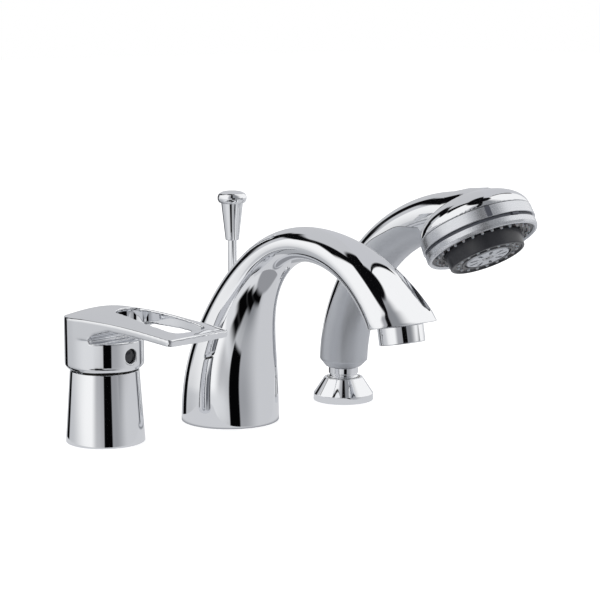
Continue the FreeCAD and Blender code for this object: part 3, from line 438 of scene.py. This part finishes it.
def slab(name, outline, low, high, place):
    """Prism on a closed (a, b) outline; place maps (a, b, c) to the part."""
    count = len(outline)
    points = [place(a, b, low) for a, b in outline] + [place(a, b, high) for a, b in outline]
    faces = [tuple(range(count)), tuple(range(count, 2 * count))]
    faces += [(i, (i + 1) % count, count + (i + 1) % count, count + i) for i in range(count)]
    piece = mesh_object(name, points, faces)
    outward(piece)
    return piece


def outward(piece):
    mesh = bmesh.new()
    mesh.from_mesh(piece.data)
    bmesh.ops.recalc_face_normals(mesh, faces=mesh.faces)
    mesh.to_mesh(piece.data)
    mesh.free()


def settle(piece):
    """Makes a piece's modifiers part of its mesh."""
    shaped = bpy.data.meshes.new_from_object(piece.evaluated_get(bpy.context.evaluated_depsgraph_get()))
    piece.modifiers.clear()
    piece.data = shaped


def turned_tool(name, profile, steps, place=Matrix()):
    """Plain lathe solid to cut or join with."""
    tool = turned(name, profile, steps, place)
    tool.modifiers.clear()
    return tool


def carve(piece, cutter, how="DIFFERENCE"):
    step = piece.modifiers.new("carve", "BOOLEAN")
    step.operation = how
    step.solver = "EXACT"
    step.object = cutter
    settle(piece)
    bpy.data.objects.remove(cutter)


def mopped(piece, grain_mm, passes):
    """Rounds every edge as a polishing mop does, and leaves flats and long curves where they are."""
    model = bpy.data.objects.new(piece.name + "_model", piece.data.copy())
    bpy.context.collection.objects.link(model)
    grid = piece.modifiers.new("grid", "REMESH")
    grid.mode = "VOXEL"
    grid.voxel_size = grain_mm * MM
    hold = piece.modifiers.new("hold", "SHRINKWRAP")
    hold.target = model
    mop = piece.modifiers.new("mop", "SMOOTH")
    mop.factor = 0.5
    mop.iterations = passes
    settle(piece)
    bpy.data.objects.remove(model)
    piece.data.polygons.foreach_set("use_smooth", [True] * len(piece.data.polygons))


def upright(x, y, z):
    return (x, -y, z)


def from_side(reach, z, x):
    return (x, -reach, z)


block_columns = 60
block_rows = 90
block_half = 32.0
points = []
for j in range(block_rows + 1):
    reach = -drum_radius - 4 + (lever_reach + drum_radius + 10) * j / block_rows
    crest = tip_height + (hood_height - tip_height) * hood_share(reach)
    for i in range(block_columns + 1):
        x = block_half * (2 * i / block_columns - 1)
        points.append((x, -reach, crest - (0.6 + 5.0 * hood_share(reach)) * (x / drum_radius) ** 2))
top_count = len(points)
points += [(x, y, drum_bottom - 6) for x, y, z in points]
faces = []
for j in range(block_rows):
    for i in range(block_columns):
        a = j * (block_columns + 1) + i
        quad = (a, a + 1, a + block_columns + 2, a + block_columns + 1)
        faces += [quad, tuple(top_count + k for k in reversed(quad))]
stride = block_columns + 1
rim = list(range(stride)) + [(j + 1) * stride + block_columns for j in range(block_rows)]
rim += [block_rows * stride + i for i in range(block_columns - 1, -1, -1)]
rim += [j * stride for j in range(block_rows - 1, 0, -1)]
faces += [(a, b, top_count + b, top_count + a) for a, b in zip(rim, rim[1:] + rim[:1])]
lever = mesh_object("lever_handle_polished", points, faces)
outward(lever)

tip_half = 24.3
back = []
for i in range(121):
    turn = i * math.pi / 120
    back.append((drum_radius * math.cos(turn), -drum_radius * math.sin(turn), 0))
tip = [(-tip_half, lever_reach - 0.8, 3), (0, lever_reach + 0.6, 60), (tip_half, lever_reach - 0.8, 3)]
plan = rounded(back + tip, 10)
carve(lever, slab("lever_plan", plan, drum_bottom, 110, upright), "INTERSECT")
index_height = 54.7
hole_radius = 4.4
hole_place = shifted(0, 0, index_height) @ Matrix.Rotation(math.radians(90), 4, "X")
key_hole = turned_tool("index_hole", [
    (0, 19.5, 0), (hole_radius, 19.5, 0), (hole_radius, 30, 0), (0, 30, 0)], 96, hole_place)
carve(lever, key_hole)
loop_front = lever_reach - 7.4
loop_half = 14.4
loop_back = crest_reach + 7.5
loop = slab("loop_hole", rounded([
    (-9.5, loop_back, 8), (-loop_half, loop_front - 23, 60), (-loop_half + 1.2, loop_front, 7),
    (0, loop_front + 1.5, 40), (loop_half - 1.2, loop_front, 7), (loop_half, loop_front - 23, 60),
    (9.5, loop_back, 8)], 12),
    drum_front_top + 2, 110, upright)
carve(lever, loop)
hollow = slab("hand_space", rounded([
    (9, drum_front_top, 1), (15, drum_front_top + 6, 10), (29, arm_under + 3.8, 12),
    (50, arm_under + 3.0, 60), (94, arm_under - 0.6, 0), (94, drum_bottom - 8, 0),
    (30, drum_bottom - 8, 0), (30, drum_front_top, 0)], 10),
    -40, 40, from_side)
carve(lever, hollow)
foot_ring = turned_tool("drum_surround", [
    (21.9, 40, 0), (60, 40, 0), (60, arm_under - 4, 0), (drum_radius - 0.03, arm_under - 4, 0),
    (drum_radius - 0.03, drum_bottom + 2.5, 0), (21.9, drum_bottom, 0)], 200)
carve(lever, foot_ring)
cavity = turned_tool("cartridge_space", [(0, 44, 0), (21.3, 44, 0), (21.3, 54.5, 0), (0, 54.5, 0)], 180)
carve(cavity, slab("screw_boss", [(-5.5, 10), (5.5, 10), (5.5, 30), (-5.5, 30)], 48.9, 60, upright))
carve(lever, cavity)
mopped(lever, 0.45, 18)
lever.data.transform(Matrix.Scale(1 / MM, 4))
lever.data.transform(lever_place)
lever.data.transform(Matrix.Scale(MM, 4))
fit(lever, "lever", chrome, "polished_chrome", "lever_handle")

# Temperature button: a smooth dark cap pressed into the drum's hole, with nothing printed on it
button = turned("index_plug", [(0, 19.6, 0), (4.2, 19.6, 0), (4.2, 21.6, 0.5), (0, 22.6, 0)], 72,
                lever_place @ hole_place)
# Moulded polyamide, black: the smooth cap shines, with a soft edge to its highlights
polyamide = blank("black_polyamide")
tree = polyamide.node_tree
grain, bump = close_grain(tree, 0.5, 0.003)
tone = add_node(tree, "MixRGB", inputs={"Fac": grain.outputs["Fac"], "Color1": linear("#26272B"),
                                        "Color2": linear("#33343A")})
skin = add_node(tree, "BsdfPrincipled", inputs={"Base Color": tone.outputs[0], "Roughness": 0.16, "IOR": 1.53,
                                                "Normal": bump.outputs[0]})
add_node(tree, "OutputMaterial", inputs={"Surface": skin.outputs[0]})
fit(button, "lever", polyamide, "dark_plastic")


# Spout: a hollow brass casting that sweeps over from a round foot to a flat wide lip, mopped and plated.
# Its foot is counterbored for the valve body, its lip is bored and threaded for the aerator.
spout_foot = 31.0
crown_reach = 81.6
crown_height = 119.7
crown_half = (14.0, 10.4)
climb_share = 0.62
spout_lean = 1.118
fall_radius = 102.0
fall_angle = math.radians(49.5)
lip_half = (23.1, 13.5)
spout_wall = 3.0
lip_round = 0.55


def spout_station(share):
    """Centre, slope, half width and half depth of the section at a share of the way from foot to lip."""
    if share <= climb_share:
        climb = max(share, 1e-4) / climb_share
        turn = climb * math.pi / 2
        y = -crown_reach * (1 - math.cos(turn)) ** spout_lean
        z = crown_height * math.sin(turn)
        steep = (1 - math.cos(turn)) ** (spout_lean - 1)
        slope = math.atan2(crown_reach * spout_lean * steep * math.sin(turn), crown_height * math.cos(turn))
        narrowing = (1 - (1 - climb) ** 3.67) ** 3.78
        thinning = (1 - (1 - climb) ** 2.08) ** 1.75
        return (y, z, slope, spout_foot + (crown_half[0] - spout_foot) * narrowing,
                spout_foot + (crown_half[1] - spout_foot) * thinning)
    fall = (share - climb_share) / (1 - climb_share)
    turn = fall * fall_angle
    flare = min(fall, 1.0) ** 1.6
    return (-crown_reach - fall_radius * math.sin(turn), crown_height - fall_radius * (1 - math.cos(turn)),
            math.pi / 2 + turn, crown_half[0] + (lip_half[0] - crown_half[0]) * flare,
            crown_half[1] + (lip_half[1] - crown_half[1]) * flare)


def on_spout(share, turn, inset=0.0):
    y, z, slope, wide, deep = spout_station(share)
    across = (wide - inset) * math.cos(turn)
    up = (deep - inset) * math.sin(turn)
    return Vector((across, y + up * math.cos(slope), z + up * math.sin(slope)))


def lofted(name, rings, closed=False):
    """Skin over rings of equal count; its ends are capped unless the rings come back to the first."""
    count = len(rings[0])
    faces = []
    for j in range(len(rings) if closed else len(rings) - 1):
        k = (j + 1) % len(rings)
        faces += [(j * count + i, j * count + (i + 1) % count, k * count + (i + 1) % count, k * count + i)
                  for i in range(count)]
    if not closed:
        faces += [tuple(range(count)), tuple(range((len(rings) - 1) * count, len(rings) * count))]
    piece = mesh_object(name, [point for ring in rings for point in ring], faces)
    outward(piece)
    return piece


lip_centre = Vector((0, *spout_station(1.0)[:2])) - Vector((0, 0, 2.7))
lip_place = Matrix.Translation(lip_centre) @ Matrix.Rotation(math.radians(-11.0), 4, "X")
lip_up = lip_place.to_3x3() @ Vector((0, 0, 1))
sides = 192
ways = [2 * math.pi * i / sides for i in range(sides)]


def lip_share(turn, height, inset=0.0):
    """Where the side of the spout at this angle comes down to a height over the lip."""
    low, high = 0.8, 1.2
    for _ in range(30):
        middle = (low + high) / 2
        if (on_spout(middle, turn, inset) - lip_centre).dot(lip_up) > height:
            low = middle
        else:
            high = middle
    return low


def circle_at(radius, height, place=Matrix(), flip=1):
    return [place @ Vector((radius * math.cos(t), flip * radius * math.sin(t), height)) for t in ways]


ends = [lip_share(t, lip_round) for t in ways]
lip_bore = 12.05
bore_depth = 7.0
throat = 9.6
mouth_floor = 9.0
inner_ends = [lip_share(t, mouth_floor, spout_wall) for t in ways]
foot_round = 0.6
rings = []
for i in range(7):
    bend = i * math.pi / 12
    rings.append(circle_at(spout_foot - foot_round + foot_round * math.sin(bend),
                           foot_round * (1 - math.cos(bend))))
rings.append(circle_at(spout_foot, 1.6))
outer_rows = 200
first = 0.008
rings += [[on_spout(first + (end - first) * j / outer_rows, t) for end, t in zip(ends, ways)]
          for j in range(outer_rows + 1)]
edge = rings[-1]
inward = []
for point in edge:
    flat = lip_centre - point
    flat -= lip_up * flat.dot(lip_up)
    inward.append(flat.normalized())
for i in range(1, 6):
    bend = i * math.pi / 10
    rings.append([point - lip_up * lip_round * math.sin(bend) + way * lip_round * (1 - math.cos(bend))
                  for point, way in zip(edge, inward)])
for radius, height in ((lip_bore, 0.0), (lip_bore, bore_depth), (throat, bore_depth), (throat, mouth_floor)):
    rings.append(circle_at(radius, height, lip_place, -1))
inner_rows = 30
hollow_start = 0.10
rings += [[on_spout(end + (hollow_start - end) * j / inner_rows, t, spout_wall)
           for end, t in zip(inner_ends, ways)] for j in range(inner_rows + 1)]
foot_bore = 27.0
rings += [circle_at(foot_bore, 6.0), circle_at(foot_bore, 0.0)]
spout = lofted("spout_shell_polished", rings, closed=True)
rod_place = shifted(0, -3.0)
rod_room = 4.37
rod_hole = turned_tool("rod_hole", [
    (0, 60, 0), (rod_room, 60, 0), (rod_room, 115, 0), (0, 115, 0)], 96, rod_place)
carve(spout, rod_hole)
spout.data.polygons.foreach_set("use_smooth", [True] * len(spout.data.polygons))
spout.data.set_sharp_from_angle(angle=math.radians(38))
fit(spout, "deck_units", chrome, "polished_chrome", "spout_shell")
dress("rod_guide", chrome)
dress("spout_gasket", epdm)


# Diverter: a brass valve body inside the leg, with a gland nut and seals round a stainless pull rod.
# Its knob is turned brass, plated: a slim cone that ends in a flattened bead to pinch and lift.
for node in ("diverter_body", "diverter_gland_nut"):
    dress(node, brass)
for node in ("gland_seal", "piston_seal"):
    dress(node, epdm)
dress("diverter_piston", acetal)
dress("diverter_spring", stainless)
dress("diverter_rod", chrome)
knob_neck = 6.85
knob_head = 9.2
bead_middle = 141.5
bead_half = 3.3
profile = [(0, 115, 0), (4.2, 115, 0.7), (knob_neck, bead_middle - bead_half, 0.15)]
for i in range(1, 16):
    bend = -math.pi / 2 + i * math.pi / 16
    profile.append((knob_neck + (knob_head - knob_neck) * math.cos(bend),
                    bead_middle + bead_half * math.sin(bend), 0))
crown_start = bead_middle + bead_half
crown_rise = 1.2
for i in range(1, 8):
    bend = i * math.pi / 16
    profile.append((knob_neck * math.cos(bend), crown_start + crown_rise * math.sin(bend), 0))
profile.append((0, crown_start + crown_rise, 0))
knob = turned("diverter_knob_polished", profile, place=rod_place)
fit(knob, "diverter", chrome, "polished_chrome", "diverter_knob")


# Aerator: a plated brass ring screwed up into the lip, with a moulded jet insert and a flat washer.
# It hangs level with the lip's own face, and its lower edge is rounded over the insert.
housing = turned("aerator_ring_polished", [
    (9.3, -10.3, 0.25), (13.25, -10.3, 0.7), (13.25, -0.2, 0.35), (11.9, -0.2, 0.1), (11.9, 6.0, 0.3),
    (10.3, 6.0, 0), (10.3, -8.7, 0), (9.3, -8.7, 0)], place=lip_place)
fit(housing, "deck_units", chrome, "polished_chrome", "aerator_housing")
dress("aerator_insert", acetal)
dress("aerator_washer", epdm)


# Hand shower holder: a turned brass cone on the deck, plated, with a moulded bush for the hose end.
# The shank below is a hollow thread; the hose runs down through it.
holder_x = unit_pitch
holder = turned("holder_cone_polished", [
    (18.3, 0, 0), (19.9, 0, 0.5), (19.9, 4.7, 0.7), (12.7, 15.5, 0.5), (11.2, 15.5, 0.15), (11.2, 3.2, 0),
    (12.1, 3.2, 0), (12.1, 2.0, 0), (18.3, 2.0, 0)], place=shifted(holder_x))
fit(holder, "deck_units", chrome, "polished_chrome", "holder_cone")
dress("holder_shank", brass)
dress("holder_bush", acetal)
dress("holder_gasket", epdm)


# Hose end: the turned cone nut of the hose, plated, parked in the holder with its rubber washer on top.
# It has one groove round it, and its collar bears on the foot of the hand shower.
nut = turned("hose_coupling_polished", [
    (5.0, 6.4, 0), (8.4, 6.4, 0.2), (9.9, 10.2, 0.6), (9.9, 16.4, 0.25), (9.2, 17.0, 0.2), (9.2, 17.8, 0.2),
    (9.9, 18.4, 0.25), (9.9, 22.5, 0.5), (8.4, 22.5, 0.1), (8.4, 33.9, 0.3), (5.0, 33.9, 0)],
    place=shifted(holder_x))
fit(nut, "hose_end", chrome, "polished_chrome", "hose_coupling")
dress("coupling_washer", epdm)


# Hand shower body: two mouldings glued along a seam, a satin grip below and a plated back shell above.
# The back shell runs on into the dome over the spray head; the seam shows as a fine dark line.
handle_bottom = 22.9
handle_half = 15.85
spine_reach = 118.0
spine_height = 111.0
neck_half = (14.5, 14.25)
face_tilt = math.radians(30.2)
face_place = shifted(holder_x, -129.7, 115.7) @ Matrix.Rotation(-face_tilt, 4, "X")
collar_half = 36.0
collar_low = 7.0
dome_low = 14.4
dome_rise = 18.2
seam_gap = 0.35


def tilted_ring(y, z, slope, wide, deep):
    return [Vector((holder_x + wide * math.cos(t), y + deep * math.sin(t) * math.cos(slope),
                    z + deep * math.sin(t) * math.sin(slope))) for t in ways]


def ease(share):
    share = min(max(share, 0.0), 1.0)
    return share * share * (3 - 2 * share)


def handle_ring(turn):
    """Section of the handle where its spine has turned so far from upright."""
    taper = ease((turn - 0.2) / 1.0)
    slope = math.atan2(spine_reach * math.sin(turn), spine_height * math.cos(turn))
    return tilted_ring(-spine_reach * (1 - math.cos(turn)), handle_bottom + spine_height * math.sin(turn),
                       slope, handle_half + (neck_half[0] - handle_half) * taper,
                       handle_half + (neck_half[1] - handle_half) * taper)


foot_turn = math.asin(4.9 / spine_height)
neck_turn = math.radians(84)
rings = [tilted_ring(0, handle_bottom, 0, 11.6, 11.6)]
rings += [handle_ring(foot_turn + (neck_turn - foot_turn) * i / 90) for i in range(91)]
neck_y = -spine_reach * (1 - math.cos(neck_turn))
neck_z = handle_bottom + spine_height * math.sin(neck_turn)
neck_run = 29.0
neck_rise = 28.5
neck_slope = math.pi / 2 - 0.12
for run, rise, shrink in ((0.45, 0.14, 1.0), (0.95, 0.26, 3.0)):
    rings.append(tilted_ring(neck_y - run * neck_run, neck_z + rise * neck_rise, neck_slope,
                             neck_half[0] - shrink, neck_half[1] - shrink))
casing = lofted("handset_back_shell_plated", rings)
collar_space = turned_tool("collar_space", [
    (0, -30, 0), (36.3, -30, 0), (36.3, dome_low, 0), (0, dome_low, 0)], 192, face_place)
carve(casing, collar_space)
dome_half = collar_half - 0.6
profile = [(0, dome_low, 0), (dome_half, dome_low, 0)]
for i in range(1, 25):
    bend = i * math.pi / 50
    profile.append((dome_half * math.cos(bend), dome_low + dome_rise * math.sin(bend), 0))
profile.append((0, dome_low + dome_rise, 0))
dome = turned_tool("dome", profile, 192, face_place)
carve(casing, dome, "UNION")
spigot_hole = turned_tool("spigot_hole", [
    (0, 10, 0), (8.6, 10, 0), (8.6, 36.1, 0), (0, 36.1, 0)], 96, shifted(holder_x))
carve(casing, spigot_hole)
mopped(casing, 0.5, 5)


def back_space(shift):
    """Room of the back shell: behind the seam line in side view, and all of the dome."""
    line = [(60, 38, 0), (8.5, 38, 12), (-9, 76, 60), (-40, 111.5, 30), (-66, 123.5, 25), (-90, 124.5, 4),
            (-95, 112, 0), (-180, 112, 0), (-180, 190, 0), (60, 190, 0)]
    outline = [(y + shift, z + shift) for y, z in rounded(line, 16)]
    room = slab("back_room", outline, 35, 155, lambda y, z, x: (x, y, z))
    low = dome_low - 0.2
    head = turned_tool("head_room", [(0, low, 0), (36.4, low, 0), (36.4, 50, 0), (0, 50, 0)], 192, face_place)
    carve(room, head, "UNION")
    return room


grip = bpy.data.objects.new("handset_grip_satin", casing.data.copy())
bpy.context.collection.objects.link(grip)
carve(casing, back_space(0.0), "INTERSECT")
carve(grip, back_space(-seam_gap * 0.7))
for piece in (casing, grip):
    piece.data.polygons.foreach_set("use_smooth", [True] * len(piece.data.polygons))
    piece.data.set_sharp_from_angle(angle=math.radians(50))

# Plated ABS: as bright as the brass parts, but its long surfaces wave a little, as mouldings do
plated_abs = blank("plated_abs")
tree = plated_abs.node_tree
place = add_node(tree, "TexCoord")
waves = add_node(tree, "TexNoise", inputs={"Vector": place.outputs["Object"], "Scale": 1 / (14 * MM),
                                           "Detail": 1.0})
sink = add_node(tree, "Bump", inputs={"Height": waves.outputs["Fac"], "Distance": 0.05 * MM, "Strength": 0.5})
skin = add_node(tree, "BsdfPrincipled", inputs={"Base Color": linear("#F0F1F3"), "Metallic": 1.0,
                                                "Roughness": 0.045, "Normal": sink.outputs[0]})
add_node(tree, "OutputMaterial", inputs={"Surface": skin.outputs[0]})
fit(casing, "handset", plated_abs, "plated_plastic", "handset_back_shell")

# Silver-lacquered ABS: fine metal flake under a matt coat, so light spreads in soft wide bands
satin_lacquer = blank("silver_lacquered_abs")
tree = satin_lacquer.node_tree
grain, bump = close_grain(tree, 0.3, 0.004)
flake = add_node(tree, "MixRGB", inputs={"Fac": grain.outputs["Fac"], "Color1": linear("#C3C6CC"),
                                         "Color2": linear("#D0D3D8")})
skin = add_node(tree, "BsdfPrincipled", inputs={"Base Color": flake.outputs[0], "Metallic": 0.5, "IOR": 1.5,
                                                "Roughness": 0.34, "Normal": bump.outputs[0]})
add_node(tree, "OutputMaterial", inputs={"Surface": skin.outputs[0]})
fit(grip, "handset", satin_lacquer, "grip_plastic", "handset_grip")
dress("water_tube", acetal)


# Spray head: a fixed collar with a pointer, a groove band and bezel that turn together to pick the spray,
# a dark spray plate with soft nozzles, and a raised jet disc held by one screw. All are mouldings.
# Pearl-chromed ABS: paler and closer than the grip's lacquer, with a blurred mirror in it
pearl_chrome = blank("pearl_chromed_abs")
tree = pearl_chrome.node_tree
grain, bump = close_grain(tree, 0.3, 0.0008)
haze = add_node(tree, "MapRange", inputs={"Value": grain.outputs["Fac"], "To Min": 0.24, "To Max": 0.3})
skin = add_node(tree, "BsdfPrincipled", inputs={"Base Color": linear("#DEE0E4"), "Metallic": 0.85,
                                                "Roughness": haze.outputs[0], "Normal": bump.outputs[0]})
add_node(tree, "OutputMaterial", inputs={"Surface": skin.outputs[0]})
collar_top = dome_low - 0.3
collar = turned("mode_collar_moulded", [
    (33.0, collar_low, 0), (collar_half, collar_low, 0.4), (35.6, collar_top, 0.4), (33.0, collar_top, 0)],
    place=face_place)
fit(collar, "handset", pearl_chrome, "satin_plastic", "mode_collar")


def bevelled(piece, width_mm, from_degrees=30):
    edge = piece.modifiers.new("edge", "BEVEL")
    edge.width = width_mm * MM
    edge.segments = 2
    edge.limit_method = "ANGLE"
    edge.angle_limit = math.radians(from_degrees)
    even_shading(piece)


def curved_tab(name, inner, outer, low, high, middle, half_angle, round_off, place):
    """Tab that follows a round wall, its outer corners rounded in side view."""
    span = outer * math.radians(half_angle)
    outline = rounded([(-span, low, round_off), (span, low, round_off), (span, high, round_off),
                       (-span, high, round_off)], 5)
    points = []
    for radius in (inner, outer):
        for along, height in outline:
            turn = math.radians(middle) + along / outer
            points.append(place @ Vector((radius * math.cos(turn), radius * math.sin(turn), height)))
    count = len(outline)
    faces = [tuple(range(count)), tuple(range(count, 2 * count))]
    faces += [(i, (i + 1) % count, count + (i + 1) % count, count + i) for i in range(count)]
    tab = mesh_object(name, points, faces)
    outward(tab)
    bevelled(tab, 0.12)
    return tab


# Moulded ABS, slate grey: the groove and the pointer, matt with a low sheen
slate_abs = blank("slate_abs")
tree = slate_abs.node_tree
grain, bump = close_grain(tree, 0.35, 0.006)
tone = add_node(tree, "MixRGB", inputs={"Fac": grain.outputs["Fac"], "Color1": linear("#484B55"),
                                        "Color2": linear("#555862")})
skin = add_node(tree, "BsdfPrincipled", inputs={"Base Color": tone.outputs[0], "Roughness": 0.4, "IOR": 1.53,
                                                "Normal": bump.outputs[0]})
add_node(tree, "OutputMaterial", inputs={"Surface": skin.outputs[0]})
pointer = curved_tab("mode_pointer_moulded", 33.4, 36.2, collar_low + 0.2, dome_low - 0.5, -120, 2.6, 0.5,
                     face_place)
fit(pointer, "handset", slate_abs, "groove_plastic", "mode_pointer")
band = turned("groove_band", [(32.7, 5.1, 0), (34.4, 5.1, 0.1), (34.4, 6.8, 0.1), (32.7, 6.8, 0)],
              place=face_place)
nub = curved_tab("groove_nub", 33.0, 36.0, 5.3, 6.6, -92, 4.0, 0.4, face_place)
settle(nub)
nub_mesh = bmesh.new()
nub_mesh.from_mesh(band.data)
nub_mesh.from_mesh(nub.data)
nub_mesh.to_mesh(band.data)
nub_mesh.free()
bpy.data.objects.remove(nub)
fit(band, "selector", slate_abs, "groove_plastic", "grip_band")
bezel = turned("selector_ring_moulded", [
    (32.5, 1.0, 0.2), (33.3, 0.0, 0.3), (34.6, 0.0, 0.7), (35.4, 1.8, 1.0), (35.4, 5.1, 0.4), (32.6, 5.1, 0)],
    place=face_place)
fit(bezel, "selector", pearl_chrome, "satin_plastic", "selector_ring")

# Moulded ABS, charcoal: satin, so the plate reads as dark grey with a soft light across it
charcoal_abs = blank("charcoal_abs")
tree = charcoal_abs.node_tree
grain, bump = close_grain(tree, 0.4, 0.006)
tone = add_node(tree, "MixRGB", inputs={"Fac": grain.outputs["Fac"], "Color1": linear("#2A2B30"),
                                        "Color2": linear("#36373C")})
skin = add_node(tree, "BsdfPrincipled", inputs={"Base Color": tone.outputs[0], "Roughness": 0.3, "IOR": 1.53,
                                                "Normal": bump.outputs[0]})
add_node(tree, "OutputMaterial", inputs={"Surface": skin.outputs[0]})
plate = turned("spray_plate_moulded", [
    (0, 2.2, 0), (25.4, 2.2, 0.2), (26.0, 1.5, 0.3), (32.2, 1.5, 0.3), (32.58, 1.1, 0.1), (32.58, 4.2, 0),
    (0, 4.2, 0)], place=face_place)
fit(plate, "selector", charcoal_abs, "dark_plastic", "spray_plate")

# Moulded silicone, pale grey: soft nozzles that rub clean, cloudy and matt
silicone = blank("grey_silicone")
tree = silicone.node_tree
grain, bump = close_grain(tree, 0.3, 0.004)
tone = add_node(tree, "MixRGB", inputs={"Fac": grain.outputs["Fac"], "Color1": linear("#A2A4A9"),
                                        "Color2": linear("#B0B2B7")})
skin = add_node(tree, "BsdfPrincipled", inputs={"Base Color": tone.outputs[0], "Roughness": 0.45, "IOR": 1.41,
                                                "Subsurface Weight": 0.08, "Normal": bump.outputs[0]})
add_node(tree, "OutputMaterial", inputs={"Surface": skin.outputs[0]})


def nozzles(name, circles, foot, tip, bore, place):
    """Rings of small cones, each with a jet bored in it, as one moulding."""
    joined = bmesh.new()
    for circle, count, offset in circles:
        for i in range(count):
            turn = 2 * math.pi * (i + offset) / count
            spot = place @ shifted(circle * math.cos(turn), circle * math.sin(turn))
            one = turned("one_nozzle", [
                (0, foot[1], 0), (foot[0], foot[1], 0), (tip[0], tip[1], 0.2), (bore, tip[1], 0.08),
                (bore, tip[1] + 0.9, 0), (0, tip[1] + 0.9, 0)], 24, spot)
            joined.from_mesh(one.data)
            bpy.data.objects.remove(one)
    piece = mesh_object(name, [], [])
    joined.to_mesh(piece.data)
    joined.free()
    even_shading(piece)
    return piece


ring_nozzles = nozzles("nozzle_mat_moulded", [(29.3, 30, 0)], (1.15, 1.6), (0.7, -0.3), 0.35, face_place)
fit(ring_nozzles, "selector", silicone, "grey_silicone", "nozzle_mat")

# Jet disc: a drum standing out of the plate, its face a dark ring round a paler star of slots
disc_low = -8.0
disc = turned("centre_disc_moulded", [
    (0, disc_low + 1.3, 0), (14.2, disc_low + 1.3, 0), (15.0, disc_low + 1.3, 0.2),
    (15.0, disc_low + 0.4, 0.1), (16.0, disc_low + 0.4, 0.1), (16.4, disc_low + 1.0, 0.2),
    (21.6, disc_low + 1.0, 0.3), (22.2, disc_low, 0.4), (23.6, disc_low + 0.1, 0.8),
    (24.9, 1.4, 0), (0, 1.4, 0)], place=face_place)
fit(disc, "selector", charcoal_abs, "dark_plastic", "centre_disc")
jets = nozzles("jet_ring_moulded", [(19.0, 18, 0.5)], (1.2, disc_low + 1.2), (0.8, disc_low + 0.1), 0.4,
               face_place)
fit(jets, "selector", silicone, "grey_silicone")
star = turned_tool("jet_star_moulded", [
    (3.6, disc_low + 0.1, 0.2), (13.4, disc_low + 0.1, 0.5), (14.1, disc_low + 1.6, 0),
    (3.6, disc_low + 1.6, 0)], 144, face_place)
slot_count = 9
slot_outline = rounded([(6.6, -0.7, 0.5), (12.2, -1.3, 1.0), (12.2, 1.3, 1.0), (6.6, 0.7, 0.5)], 5)
for i in range(slot_count):
    turn = Matrix.Rotation(2 * math.pi * i / slot_count, 4, "Z")
    slot = slab("slot", slot_outline, disc_low - 1, disc_low + 3,
                lambda a, b, c: face_place @ turn @ Vector((a, b, c)))
    carve(star, slot)
bevelled(star, 0.15, 50)
fit(star, "selector", satin_lacquer, "grip_plastic")
dress("face_screw", stainless)
dress("channel_plate", acetal)
dress("face_seal", epdm)
